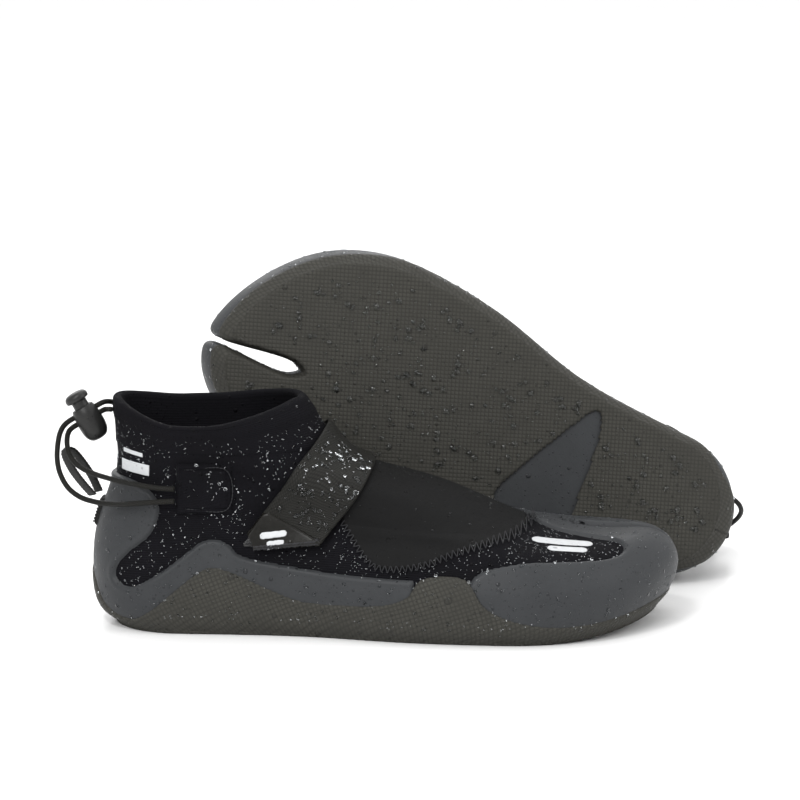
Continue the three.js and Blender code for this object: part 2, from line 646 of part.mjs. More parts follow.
// ---- Materials ---------------------------------------------------------------------------------------
const finish = (color, roughness, metalness = 0) => new THREE.MeshStandardMaterial({ color, roughness, metalness });
const materials = {
  neoprene: finish(0x17171c, 0.85),
  panel: finish(0x1c1c1d, 0.6),
  smoothRubber: finish(0x44474b, 0.55),
  soleRubber: finish(0x3b3a36, 0.7),
  strapRubber: finish(0x2f2e2b, 0.65),
  moulded: finish(0x1d1c18, 0.3),
  webbing: finish(0x191918, 0.8),
  cord: finish(0x26251f, 0.7),
  plastic: finish(0x3d3e40, 0.4),
  steel: finish(0xa8aaad, 0.3, 1),
  foam: finish(0x2c2c2e, 0.9),
  pile: finish(0x111113, 0.95),
};

// ---- One boot's pieces -------------------------------------------------------------------------------
const pieces = [
  ["neoprene_upper", materials.neoprene, neopreneUpper()],
  ["ankle_collar", materials.neoprene, ankleCollar()],
  ["outsole", materials.soleRubber, outsole()],
  ["arch_panel", materials.smoothRubber, archPanel()],
  ["heel_rand", materials.smoothRubber, heelRand()],
  ["toe_cap", materials.smoothRubber, toeCap()],
  ["insole", materials.foam, insole()],
  ["instep_panel", materials.panel, instepPanel()],
  ["strap_base", materials.strapRubber, strapBase()],
  ["strap_tail", materials.strapRubber, strapTail()],
  ["strap_tip", materials.moulded, strapTip()],
  ["hook_pad", materials.pile, strapPad(hookLayer, hookLayer + hookThickness)],
  ["loop_pad", materials.pile, strapPad(gap, gap + panelWall)],
  ["cord_pocket", materials.neoprene, cordPocket()],
  ["pull_tab", materials.webbing, pullTab()],
  ["pull_tab_anchor", materials.webbing, tabAnchor()],
  ["collar_cord", materials.cord, collarCord()],
  ["outer_strand", materials.cord, strand(outerStrandPoints)],
  ["inner_strand", materials.cord, strand(innerStrandPoints)],
];
const lockPieces = [
  ["cord_lock_body", materials.plastic, lockBody()],
  ["cord_lock_button", materials.plastic, lockButton()],
  ["cord_lock_spring", materials.steel, lockSpring()],
];

function meshes(list, side) {
  return list.map(([name, material, solid]) => {
    const mesh = new THREE.Mesh(toGeometry(solid), material);
    mesh.name = side + "_" + name;
    return mesh;
  });
}

function boot(side) {
  const group = new THREE.Group();
  group.add(...meshes(pieces, side));
  const lock = new THREE.Group();
  lock.add(...meshes(lockPieces, side));
  lock.position.set(...lockPlace);
  const along = new THREE.Vector3(Math.cos(lockTilt), 0, Math.sin(lockTilt));
  const plunger = new THREE.Vector3(-Math.sin(lockTilt), 0, Math.cos(lockTilt));
  lock.quaternion.setFromRotationMatrix(
    new THREE.Matrix4().makeBasis(along, plunger, new THREE.Vector3().crossVectors(along, plunger)),
  );
  group.add(lock);
  return group;
}

// ---- The pair ----------------------------------------------------------------------------------------
const pair = new THREE.Group();
pair.add(boot("right"));

// The left boot: mirrored, laid on its medial side with the sole towards -Y, then inclined and leant.
const mirrored = boot("left");
mirrored.scale.y = -1;
const laid = new THREE.Group();
laid.quaternion.setFromRotationMatrix(
  new THREE.Matrix4().makeBasis(
    new THREE.Vector3(-1, 0, 0),
    new THREE.Vector3(0, 0, 1),
    new THREE.Vector3(0, 1, 0),
  ),
);
laid.add(mirrored);
const inclined = new THREE.Group();
inclined.rotation.y = lieIncline;
inclined.add(laid);
const left = new THREE.Group();
left.rotation.set(lieLean, 0, lieYaw, "ZXY");
left.position.set(...lieFrom, 0);
left.add(inclined);
left.position.z = -new THREE.Box3().setFromObject(left, true).min.z;
pair.add(left);

// The origin is on the ground, under the middle of the pair without its loose cords and what is on them.
const loose = ["outer_strand", "inner_strand", "cord_lock"];
const extent = new THREE.Box3();
pair.updateMatrixWorld(true);
pair.traverse((o) => {
  if (o.isMesh && !loose.some((word) => o.name.includes(word))) extent.expandByObject(o, true);
});
const middle = extent.getCenter(new THREE.Vector3());
pair.position.set(-middle.x, -middle.y, 0);
pair.updateMatrixWorld(true);

export default pair;
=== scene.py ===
import math

import bmesh
import bpy
import numpy as np
from bpy.props import FloatProperty, FloatVectorProperty, PointerProperty
from mathutils import Matrix, Vector


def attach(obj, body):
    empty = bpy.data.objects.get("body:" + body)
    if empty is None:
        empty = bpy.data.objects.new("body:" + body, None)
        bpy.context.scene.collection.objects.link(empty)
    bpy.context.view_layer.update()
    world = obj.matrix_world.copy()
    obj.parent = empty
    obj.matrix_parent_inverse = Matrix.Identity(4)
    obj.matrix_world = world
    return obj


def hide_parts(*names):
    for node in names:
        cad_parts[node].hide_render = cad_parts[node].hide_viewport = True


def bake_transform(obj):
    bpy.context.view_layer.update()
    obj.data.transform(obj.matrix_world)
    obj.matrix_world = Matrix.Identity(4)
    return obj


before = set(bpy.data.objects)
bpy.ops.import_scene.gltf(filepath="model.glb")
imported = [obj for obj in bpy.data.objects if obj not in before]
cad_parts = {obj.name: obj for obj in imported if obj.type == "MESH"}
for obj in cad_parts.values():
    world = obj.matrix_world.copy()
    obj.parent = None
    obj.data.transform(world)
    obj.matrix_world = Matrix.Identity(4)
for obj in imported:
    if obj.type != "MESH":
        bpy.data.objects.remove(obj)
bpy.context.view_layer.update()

bl_info = {
    "name": "Split-toe wetsuit boots",
    "version": (1, 0, 0),
    "blender": (4, 5, 0),
    "location": "3D View > Sidebar > Boots",
    "description": "Builds a pair of split-toe neoprene boots over their packed frame",
    "category": "Add Mesh",
}

MM = 0.001

# ---- Sizes shared by the pieces, in millimetres, in a right boot's own frame --------------------------
# x runs from heel to toe, y towards the big toe, z up from the ground.
NEOPRENE = 3.0
SOLE_UNDER = 5.2  # ground to the upper's underside
SOLE_SIDE = 2.4  # the sole's side stands this far outside the neoprene
RUBBER = 1.8  # and the smooth rubber of toe cap and heel rand this far
PANEL = 1.1  # and the instep panel and the loop pad this far
SUNK = -0.4  # a layer's edge goes this far into the neoprene
SINKING = 0.6  # and deeper by this share of the distance outside the edge
FILM = 0.3  # thickness of a print
STRAP_UNDER = 2.4
STRAP_OVER = 4.2
TIP_OVER = 5.7
RIM_HEIGHT = 107.0
HEM_DEPTH = 23.0
HEM_OUT = 0.6
HEM_WALL = 4.6
CORD_RADIUS = 1.25
CLEFT_END = 226.0
CLEFT_GAP = 3.0
CLEFT_CORNER = (225, 10.5)  # the middle of its tight inner corner
CORNER_RADIUS = 15

RIGHT_PLACE = (-146.5786, -62.9276, 0.0)
LEFT_PLACE = (159.0214, 16.1724, 23.7278)
LEFT_TURN = (24.4, -5.7, 7.4)  # toe up, sole towards the sky, toe towards the other boot, in degrees

RINGS = np.array([
    # back of the heel x, z; ridge x, z; rounding at heel and toe; share of the foot's width, the collar's
    [12, 5.2, 264, 5.2, 30, 58, 0.93, 0],
    [6, 7.6, 269, 7.6, 33, 62, 0.98, 0],
    [3, 14, 272.5, 13.5, 34, 64, 1, 0],
    [2, 26, 273.5, 21, 34, 64, 1, 0],
    [2.5, 38, 270, 29, 34, 62, 0.96, 0.05],
    [4.5, 48, 260, 36, 34, 60, 0.9, 0.15],
    [7.5, 57, 236, 40.5, 34, 62, 0.84, 0.3],
    [10.5, 66, 206, 47, 34, 62, 0.79, 0.45],
    [12, 76, 168, 63, 36, 54, 0.77, 0.65],
    [12, 87, 126, 75, 40, 47, 0.77, 0.86],
    [11.5, 98, 109, 91, 43, 46, 0.77, 0.96],
    [10, 113, 95.5, 114, 44, 44, 0.77, 1],
])
LATERAL_WIDTHS = np.array([[0, 33], [50, 34], [100, 38.5], [150, 52], [195, 58.5], [235, 59], [280, 56]])
MEDIAL_WIDTHS = np.array([[0, 32], [50, 33], [100, 31], [150, 37], [195, 45], [235, 46], [280, 42]])
CLEFT_SHAPE = np.array([[0, 0], [3, 0.7], [8, 1], [16, 0.95], [27, 0.6], [38, 0.28], [47, 0.2], [90, 0.2]])
DIP_SHAPE = np.array([[11, 0], [22, 0.5], [36, 0.95], [48, 1], [62, 0.92], [82, 0.45], [96, 0]])

SOLE_LINE = [
    (-12, 34), (0, 31), (8, 13.5), (19, 8), (29, 11.5), (41, 21.5), (52, 30), (59, 32.2), (68, 30), (85, 23),
    (100, 18), (118, 17.2), (137, 18.5), (148, 22.5), (154, 29.5), (165, 31.5), (176, 29.5), (183, 20), (194, 14),
    (210, 10.8), (228, 10.6), (248, 13), (266, 16.5), (296, 19),
]
RAND_LINE = [
    (-12, 71), (8, 71), (22, 70), (31, 64.5), (33.5, 55.5), (29, 45.5), (20, 38), (14, 31), (13.5, 24.5),
    (20, 21.2), (29, 25.5), (38, 31.5), (47, 38.5), (53, 43), (60, 44.2), (66, 41.7), (72, 36.8), (90, 33.4),
    (116, 30.3), (140, 29.4),
]
CAP_LINE = [
    (171, -70), (176, -54), (198, -49.5), (220, -44.5), (238, -36.5), (247, -26.5), (244, -18), (231, -13.5),
    (218, -8), (208, 1), (203, 12), (199, 26), (191, 40), (182, 52), (176, 70),
]
RAND_END = 151
OVER_SOLE = 2.5  # rand and cap go on this far below the sole's edge
PANEL_EDGE = [(118, 53.5), (129, 38), (137, 33.8), (154, 35.5), (170, 41), (185, 44.5), (196, 46), (207, 48.5)]
ARCH_WINDOW = [
    (80, -14), (83, -26), (87, -31), (91, -27), (100, -11), (109, 6), (117, 22), (126, 80), (77, 80), (78, 20),
]
STRAP_MIDDLE = (103.2, 60.5)
STRAP_SLANT = math.radians(36.5)
STRAP_HALF = 15.25
TIP_OUTLINE = [(69.5, 39.2), (109, 42.7), (108, 44.5), (84.5, 57.8), (82, 57.2)]
POCKET = ((42, 56), (68, 80))
OUTER_STRAND = [
    (10, 7, 101.4), (8.2, 4.6, 102.3), (5.8, 1.3, 102.6), (2.87, 0, 101.27), (-2.85, 0, 97.97), (-10.82, 0, 93.37),
    (-13.9, -1.8, 89.7), (-15.1, -5.2, 84.3), (-15.1, -9.2, 77.4), (-13.4, -12.4, 71), (-9.6, -14.8, 65),
    (-4, -16.4, 61), (2.5, -18.2, 59.2), (9, -21.2, 58.8), (15.5, -25.6, 59.4), (22, -30, 60.6), (29, -33.4, 61.8),
    (35, -35.4, 62.6), (41.2, -36, 63),
]
INNER_STRAND = [
    (10, -7.2, 100.6), (9.2, -5, 100.3), (7.8, -1.8, 99.7), (5.6, 0, 98.93), (-1.15, 0, 95.03), (-8.7, 0, 90.67),
    (-10.8, -1.4, 87.9), (-10.9, -4.8, 84), (-9.6, -8.6, 79.8), (-6.6, -11.6, 76.2), (-2.4, -13.8, 73.6),
    (3, -16.4, 71.8), (9, -19.4, 70.6), (15, -23.2, 69.8), (21.5, -27.4, 69.4), (28, -31.4, 69), (34.5, -34, 68.6),
    (41.2, -34.8, 68.4),
]
LOCK_PLACE = (-2.0, 0.0, 96.5)
LOCK_TILT = math.radians(30)
TAB_PIVOT = (1.2, 0.0, 58.0)
TAB_LOOP = [(2.2, 2.4), (-1, 9.5), (-5.6, 16.6), (-9.8, 21.6), (-12.8, 22.6), (-13.6, 19.8), (-10.6, 13), (-6, 6.6),
            (-1, 0.9)]
TAB_TWIST = math.radians(30)
TAB_AXIS = (-0.49, 0, 0.87)
TAB_HALF = 4.9  # half its width

COLUMNS_LATERAL, COLUMNS_CLEFT, COLUMNS_MEDIAL = 340, 96, 284
LATTICE = 1.15  # step of the form's rows and of the sheets under the sole

BEAD_SEEDS = {"right": 11, "left": 12}
BEADS_TRIED, STRAP_BEADS, SOLE_BEADS_TRIED = 9500, 260, 2100
LARGE_BEAD = 0.5


# ---- Curves and outlines ------------------------------------------------------------------------------
def through(pairs, at):
    """Cubic through (place, value) pairs: each slope is the one between the neighbours, flat past the ends."""
    xs, ys = pairs[:, 0], pairs[:, 1]
    last = len(xs) - 1
    k = np.arange(last + 1)
    lo, hi = np.maximum(k - 1, 0), np.minimum(k + 1, last)
    slope = (ys[hi] - ys[lo]) / (xs[hi] - xs[lo])
    at = np.clip(at, xs[0], xs[-1])
    i = np.clip(np.searchsorted(xs, at, side="right") - 1, 0, last - 1)
    span = xs[i + 1] - xs[i]
    t = (at - xs[i]) / span
    return ((2 * t**3 - 3 * t**2 + 1) * ys[i] + (t**3 - 2 * t**2 + t) * span * slope[i]
            + (3 * t**2 - 2 * t**3) * ys[i + 1] + (t**3 - t**2) * span * slope[i + 1])


def catmull(points, per_span, closed=False):
    """Catmull-Rom curve: each span is the cubic whose end slopes are half the step between its neighbours."""
    p = np.asarray(points, float)
    if closed:
        q = np.vstack([p[-1:], p, p[:2]])
    else:
        q = np.vstack([2 * p[:1] - p[1:2], p, 2 * p[-1:] - p[-2:-1]])
    t = np.linspace(0, 1, per_span, endpoint=False)[:, None]
    a, b, c, d = q[:-3, None], q[1:-2, None], q[2:-1, None], q[3:, None]
    curve = 0.5 * (2 * b + (c - a) * t + (2 * a - 5 * b + 4 * c - d) * t**2 + (3 * b - a - 3 * c + d) * t**3)
    curve = curve.reshape(-1, p.shape[1])
    return curve if closed else np.vstack([curve, p[-1:]])


def resample(line, count, end=False):
    """Points evenly spaced by length along a polyline."""
    step = np.linalg.norm(np.diff(line, axis=0), axis=1)
    run = np.concatenate([[0], np.cumsum(step)])
    at = np.linspace(0, run[-1], count, endpoint=end)
    return np.stack([np.interp(at, run, line[:, k]) for k in range(line.shape[1])], axis=1)


def depth_inside(px, py, outline):
    """Distance from a closed outline, positive inside: the least distance to its edges, signed by crossings."""
    outline = np.asarray(outline, float)
    nearest = np.full(px.shape, 1e9)
    inside = np.zeros(px.shape, bool)
    lo, hi = outline.min(0) - 6, outline.max(0) + 6
    near = (px > lo[0]) & (px < hi[0]) & (py > lo[1]) & (py < hi[1])
    x, y = px[near], py[near]
    best, odd = np.full(x.shape, 1e9), np.zeros(x.shape, bool)
    for (ax, ay), (bx, by) in zip(outline, np.roll(outline, -1, axis=0)):
        ex, ey = bx - ax, by - ay
        t = np.clip(((x - ax) * ex + (y - ay) * ey) / max(ex * ex + ey * ey, 1e-12), 0, 1)
        best = np.minimum(best, (x - ax - t * ex) ** 2 + (y - ay - t * ey) ** 2)
        if ay != by:
            odd ^= ((ay > y) != (by > y)) & (x < ex * (y - ay) / ey + ax)
    nearest[near], inside[near] = np.sqrt(best), odd
    return np.where(inside, nearest, -np.minimum(nearest, 6))


def under(line):
    """The closed outline of everything below a line that runs from heel to toe."""
    line = catmull(line, 6)
    return np.vstack([line, [[400, line[-1, 1]], [400, -60], [-60, -60], [-60, line[0, 1]]]])


# ---- The form of the foot -----------------------------------------------------------------------------
def camber(x):
    """The toes lean to the medial side as the square of the distance past the middle of the foot."""
    return 8 * (np.maximum(0, x - 120) / 160) ** 2


def toe_spring(x):
    return 10 * (np.maximum(0, x - 200) / 80) ** 2


def cleft_middle(x):
    return 10.8 + 0.05 * (x - CLEFT_END)


def rim_drop(x, y):
    """How far the rim is below its height at the heel: lowest under the ankle bones."""
    return through(DIP_SHAPE, x) * np.where(y < 0, 10.0, 5.0)


def rounding(distance, length):
    """A quarter ellipse that rises from 0 at an end of the outline to 1 at this length."""
    t = 1 - np.clip(distance / length, 0, 1)
    return np.sqrt(1 - t * t)


def foot_row(v, flare):
    """One ring: heel to toe on the lateral side, round the cleft's walls, and back on the medial side."""
    h = [through(np.stack([np.arange(len(RINGS)), RINGS[:, k]], axis=1), v) for k in range(8)]
    s = 0.5 - 0.5 * np.cos(np.linspace(0, np.pi, 260))
    x = h[0] + (h[2] - h[0]) * s
    sides = []
    for sign, widths, toe in ((-1, LATERAL_WIDTHS, 1.2), (1, MEDIAL_WIDTHS, 0.8)):
        wide = through(widths, x) * h[6] * (1 - h[7]) + 34 * h[7]
        y = sign * wide * rounding(x - h[0], h[4]) * rounding(h[2] - x, h[5] * toe) + camber(x)
        reach = 0.15 * (y - 16) * np.clip((x - 225) / 50, 0, 1.1) ** 2  # the big toe reaches further forward
        sides.append(np.stack([x + reach, y], axis=1))
    ring = np.vstack([sides[0], sides[1][::-1][1:]])

    def half(at):
        return through(CLEFT_SHAPE, at - CLEFT_END) * CLEFT_GAP + SOLE_SIDE + flare

    off = ring[:, 1] - cleft_middle(ring[:, 0])
    end = np.hypot(ring[:, 0] - CLEFT_END, off) - half(CLEFT_END)
    clear = np.where(ring[:, 0] > CLEFT_END, np.abs(off) - half(ring[:, 0]), end)
    inside = np.nonzero(clear < 0)[0]
    if len(inside):
        i, k = inside[0], inside[-1]
        t = clear[i - 1] / (clear[i - 1] - clear[i])
        first = ring[i - 1] + t * (ring[i] - ring[i - 1])
        t = clear[k + 1] / (clear[k + 1] - clear[k])
        second = ring[k + 1] + t * (ring[k] - ring[k + 1])
        lateral, medial = np.vstack([ring[:i], first]), np.vstack([second, ring[k + 1:]])
        go = np.linspace(first[0], CLEFT_END, 40)
        back = np.linspace(CLEFT_END, second[0], 40)
        a = np.linspace(-np.pi / 2, -3 * np.pi / 2, 16)[1:-1]
        r = half(CLEFT_END)
        wall = np.vstack([
            np.stack([go, cleft_middle(go) - half(go)], axis=1),
            np.stack([CLEFT_END + r * np.cos(a), cleft_middle(CLEFT_END) + r * np.sin(a)], axis=1),
            np.stack([back, cleft_middle(back) + half(back)], axis=1),
        ])
    else:
        k = np.nonzero((off[:-1] < 0) & (off[1:] >= 0))[0]
        k = k[np.argmax(ring[k, 0])]
        run = np.concatenate([[0], np.cumsum(np.linalg.norm(np.diff(ring, axis=0), axis=1))])
        at = run[k]
        parts = [(0, at - 1.5, 260), (at - 1.5, at + 1.5, 20), (at + 1.5, run[-1], 260)]
        lateral, wall, medial = (
            np.stack([np.interp(np.linspace(a, b, n), run, ring[:, c]) for c in (0, 1)], axis=1)
            for a, b, n in parts
        )
    flat = np.vstack([
        resample(lateral, COLUMNS_LATERAL), resample(wall, COLUMNS_CLEFT), resample(medial, COLUMNS_MEDIAL),
    ])
    share = (flat[:, 0] - h[0]) / (h[2] - h[0])
    z = h[1] * (1 - share) + h[3] * share + toe_spring(flat[:, 0])
    return np.column_stack([flat, z])


def soften(values, sigma, axis, wrap):
    """A weighted mean with the neighbours along one direction of a grid, with the bell curve's weights."""
    reach = int(3 * sigma) + 1
    weight = np.exp(-0.5 * (np.arange(-reach, reach + 1) / sigma) ** 2)
    weight /= weight.sum()
    total = np.zeros_like(values)
    count = values.shape[axis]
    for step, w in zip(range(-reach, reach + 1), weight):
        index = np.arange(count) + step
        index = index % count if wrap else np.clip(index, 0, count - 1)
        total += w * np.take(values, index, axis=axis)
    return total


def grid_normals(p):
    """The outward direction: the way round crossed with the way up, on a grid that closes on itself."""
    around = np.roll(p, -1, axis=1) - np.roll(p, 1, axis=1)
    up = np.gradient(p, axis=0)
    n = np.cross(around, up)
    return n / np.maximum(np.linalg.norm(n, axis=2, keepdims=True), 1e-9)


def foot_form():
    """The neoprene's outer face as a grid of rings, closest where the rings are furthest apart."""
    travel = np.maximum(np.hypot(*np.diff(RINGS[:, 0:2], axis=0).T), np.hypot(*np.diff(RINGS[:, 2:4], axis=0).T))
    run = np.concatenate([[0], np.cumsum(np.maximum(travel, 9))])  # no span counts as shorter than 9
    rows = np.interp(np.arange(0, run[-1], LATTICE), run, np.arange(len(RINGS)))
    flare = 1.0 * np.clip(1 - rows / 1.5, 0, 1) ** 2 + 3.5 * np.clip((rows - 3.6) / 2.4, 0, 1) ** 2
    p = np.stack([foot_row(v, f) for v, f in zip(rows, flare)])
    p = soften(p, 2.2, 1, True)
    p = soften(p, 1.2, 0, False)
    return rows, p, grid_normals(p)


ROWS, FORM, OUT = foot_form()
X, Y, Z = FORM[:, :, 0], FORM[:, :, 1], FORM[:, :, 2]
AROUND = np.concatenate([[0], np.cumsum(np.linalg.norm(np.diff(FORM[40], axis=0), axis=1))])
UPWARD = np.vstack([np.zeros((1, FORM.shape[1])), np.cumsum(np.linalg.norm(np.diff(FORM, axis=0), axis=2), axis=0)])
PATTERN = np.stack([np.broadcast_to(AROUND, X.shape), UPWARD], axis=2)
ACROSS_STRAP = (X - STRAP_MIDDLE[0]) * math.cos(STRAP_SLANT) - (Z - STRAP_MIDDLE[1]) * math.sin(STRAP_SLANT)


def on_side(x, z, side):
    """The points and outward directions of the form's lateral (-1) or medial (1) side at places seen from the
    side: the nearest point of the grid, slid over its own flat to the exact place."""
    x, z = np.atleast_1d(x).astype(float), np.atleast_1d(z).astype(float)
    keep = (OUT[:, :, 1] * side > 0.12) & (np.abs(Y - camber(X)) > 1)
    p, n = FORM[keep], OUT[keep]
    nearest = np.argmin((x[:, None] - p[None, ::3, 0]) ** 2 + (z[:, None] - p[None, ::3, 2]) ** 2, axis=1) * 3
    p, n = p[nearest], n[nearest]
    y = p[:, 1] - (n[:, 0] * (x - p[:, 0]) + n[:, 2] * (z - p[:, 2])) / n[:, 1]
    return np.stack([x, y, z], axis=1), n


# ---- From a right boot's frame to the pair's ----------------------------------------------------------
def boot_matrix(side):
    if side == "right":
        return Matrix.Translation(RIGHT_PLACE)
    incline, lean, yaw = (math.radians(a) for a in LEFT_TURN)
    laid = Matrix(((-1, 0, 0, 0), (0, 0, 1, 0), (0, -1, 0, 0), (0, 0, 0, 1)))  # mirrored, on its medial side
    turn = Matrix.Rotation(yaw, 4, "Z") @ Matrix.Rotation(lean, 4, "X") @ Matrix.Rotation(incline, 4, "Y")
    return Matrix.Translation(LEFT_PLACE) @ turn @ laid


PLACES = {side: np.array(boot_matrix(side)) for side in ("right", "left")}


def placed(side, points):
    """Points of a boot's own frame in millimetres as points of the pair's frame in metres."""
    m = PLACES[side]
    return (np.asarray(points) @ m[:3, :3].T + m[:3, 3]) * MM


# ---- Meshes from grids --------------------------------------------------------------------------------
def make_mesh(name, side, vertices, faces, uv, attributes=None, merge=1e-6):
    """A smooth mesh object of one boot. uv has one row a vertex, in metres; a left boot's faces are reversed."""
    faces = np.asarray(faces)
    if side == "left":
        faces = faces[:, ::-1]
    mesh = bpy.data.meshes.new(side + "_" + name)
    v = placed(side, vertices)
    v[:, 2] = np.maximum(v[:, 2], 0.0)  # no vertex goes below the ground
    sizes = (faces >= 0).sum(axis=1)
    loops = faces[faces >= 0]
    mesh.vertices.add(len(v))
    mesh.vertices.foreach_set("co", v.astype(np.float32).ravel())
    mesh.loops.add(len(loops))
    mesh.loops.foreach_set("vertex_index", loops.astype(np.int32))
    mesh.polygons.add(len(faces))
    mesh.polygons.foreach_set("loop_start", np.concatenate([[0], np.cumsum(sizes)[:-1]]).astype(np.int32))
    mesh.update(calc_edges=True)
    layer = mesh.uv_layers.new(name="pattern")
    layer.data.foreach_set("uv", (np.asarray(uv)[loops] * MM).astype(np.float32).ravel())
    for key, values in (attributes or {}).items():
        a = mesh.attributes.new(key, "FLOAT", "POINT")
        a.data.foreach_set("value", np.asarray(values, np.float32).ravel())
    mesh.validate()
    if merge:
        bm = bmesh.new()
        bm.from_mesh(mesh)
        bmesh.ops.remove_doubles(bm, verts=bm.verts, dist=merge)
        bmesh.ops.dissolve_degenerate(bm, dist=1e-7, edges=bm.edges)
        bm.to_mesh(mesh)
        bm.free()
    mesh.shade_smooth()
    obj = bpy.data.objects.new(mesh.name, mesh)
    bpy.context.scene.collection.objects.link(obj)
    return obj


def grid_faces(rows, columns, wrap=False, wrap_rows=False):
    """The quads of a grid whose vertices are numbered row by row, facing along (columns) x (rows)."""
    i = np.arange(rows if wrap_rows else rows - 1)[:, None]
    j = np.arange(columns if wrap else columns - 1)[None, :]
    k, n = (i + 1) % rows, (j + 1) % columns
    return np.stack([i * columns + j, i * columns + n, k * columns + n, k * columns + j], axis=2).reshape(-1, 4)


def compact(vertices, faces, *others):
    """Only the vertices that the faces use, with everything else that has one row a vertex."""
    used = np.unique(faces[faces >= 0])
    index = np.full(len(vertices) + 1, -1)
    index[used] = np.arange(len(used))
    return vertices[used], np.where(faces >= 0, index[faces], -1), *[np.asarray(o)[used] for o in others]


def rise(depth, width):
    """How much of a layer's wall stands at a depth inside its edge: a quarter round, and sinking outside."""
    t = np.clip(depth / width, 0, 1)
    return np.where(depth > 0, np.sqrt(1 - (1 - t) ** 2), 0)


def trimmed(faces, depth, edge=-0.9):
    """The faces that reach inside a layer's edge or nearly so, and have no corner far outside it."""
    return faces[(depth[faces] > edge).any(axis=1) & (depth[faces] > -3).all(axis=1)]


def walled(obj, thickness):
    """Gives an open sheet a wall of this thickness on its inner side."""
    wall = obj.modifiers.new("wall", "SOLIDIFY")
    wall.thickness, wall.offset = thickness * MM, -1
    return obj


def skin(name, side, depth, over, width=1.0, under_height=SUNK, solid=1.4, extra=0.0):
    """A layer of the boot: the form moved out along its own direction by the layer's height, which falls in a
    quarter round to below the neoprene at the layer's edge. depth is the distance inside that edge."""
    height = under_height + (over - under_height) * rise(depth, width) + np.minimum(depth, 0) * SINKING
    height = height + extra * (depth > 0)
    points = (FORM + OUT * height[:, :, None]).reshape(-1, 3)
    flat = depth.reshape(-1)
    faces = trimmed(grid_faces(*X.shape, wrap=True), flat)
    points, faces, pattern, flat = compact(points, faces, PATTERN.reshape(-1, 2), flat)
    return walled(make_mesh(name, side, points, faces, pattern, {"inset": flat * MM}), solid)


def carried(name, side, sections, uv):
    """A closed section carried along a path, with a cap at each end. sections is (stations, points, 3), and the
    section runs clockwise when looked at along the path."""
    stations, around = sections.shape[:2]
    points = sections.reshape(-1, 3)
    faces = grid_faces(stations, around, wrap=True)
    caps = np.stack([sections[0].mean(0), sections[-1].mean(0)])
    j = np.arange(around)
    n = (j + 1) % around
    pad = np.full(around, -1)
    start = np.stack([n, j, np.full(around, len(points)), pad], axis=1)
    last = (stations - 1) * around
    end = np.stack([last + j, last + n, np.full(around, len(points) + 1), pad], axis=1)
    uv = np.vstack([uv.reshape(-1, 2), uv[0].mean(0), uv[-1].mean(0)])
    return make_mesh(name, side, np.vstack([points, caps]), np.vstack([faces, start, end]), uv)


def frames_along(path):
    """Directions along a path, and a sideways pair turned as little as possible from one point to the next."""
    ahead = np.gradient(path, axis=0)
    ahead /= np.linalg.norm(ahead, axis=1, keepdims=True)
    side = np.cross(ahead[0], [0.3, 0.2, 1.0])
    sides = []
    for t in ahead:
        side = side - t * side.dot(t)
        side = side / np.linalg.norm(side)
        sides.append(side)
    sides = np.array(sides)
    return ahead, sides, np.cross(ahead, sides)


def bar_along(name, side, path, radius, sides=16):
    """A round bar: a circle carried along a path."""
    ahead, a, b = frames_along(path)
    turn = np.linspace(0, 2 * np.pi, sides, endpoint=False)
    ring = np.cos(turn)[None, :, None] * a[:, None] + np.sin(turn)[None, :, None] * b[:, None]
    run = np.concatenate([[0], np.cumsum(np.linalg.norm(np.diff(path, axis=0), axis=1))])
    uv = np.stack(np.broadcast_arrays(run[:, None], turn[None, :] * radius), axis=2)
    return carried(name, side, path[:, None] + radius * ring, uv)


def stitches(name, side, starts, ends, out, radius):
    """Rows of thread: each stitch is a half-sunk spindle from its start to its end, bulging outwards."""
    count, sides = len(starts), 6
    stations = 7
    t = np.linspace(0, 1, stations)
    swell = np.sqrt(np.clip(1 - (2 * t - 1) ** 4, 0, 1))
    along = ends - starts
    lateral = np.cross(along, out)
    lateral /= np.linalg.norm(lateral, axis=1, keepdims=True)
    a = np.linspace(0, 2 * np.pi, sides, endpoint=False)
    centre = starts[:, None] + t[None, :, None] * along[:, None]
    centre = centre + (out * radius * 0.35)[:, None] * swell[None, :, None]
    ring = (np.cos(a)[:, None] * lateral[:, None, None] + np.sin(a)[:, None] * out[:, None, None])
    points = centre[:, :, None] + radius * np.maximum(swell, 0.05)[None, :, None, None] * ring
    last = (stations - 1) * sides
    ends_on = [[0, 1, 2, 3], [0, 3, 4, 5],
               [last + 3, last + 2, last + 1, last], [last + 5, last + 4, last + 3, last]]
    faces = np.vstack([grid_faces(stations, sides, wrap=True)[:, ::-1], np.array(ends_on)])
    faces = (faces[None] + (np.arange(count) * stations * sides)[:, None, None]).reshape(-1, 4)
    uv = np.zeros((count * stations * sides, 2))
    return make_mesh(name, side, points.reshape(-1, 3), faces, uv, merge=0)


# ---- Shader groups ------------------------------------------------------------------------------------
def group(name, inputs, outputs):
    tree = bpy.data.node_groups.new(name, "ShaderNodeTree")
    for label, value in inputs:
        kind = "NodeSocketVector" if value is None else "NodeSocketFloat"
        socket = tree.interface.new_socket(label, in_out="INPUT", socket_type=kind)
        if value is not None:
            socket.default_value = value
    for label in outputs:
        tree.interface.new_socket(label, in_out="OUTPUT", socket_type="NodeSocketFloat")
    return tree, tree.nodes.new("NodeGroupInput"), tree.nodes.new("NodeGroupOutput")


def math_node(tree, how, a, b=None, clamp=False):
    n = tree.nodes.new("ShaderNodeMath")
    n.operation, n.use_clamp = how, clamp
    for socket, value in zip(n.inputs, (a, b)):
        if value is None:
            continue
        if isinstance(value, (int, float)):
            socket.default_value = value
        else:
            tree.links.new(value, socket)
    return n.outputs[0]


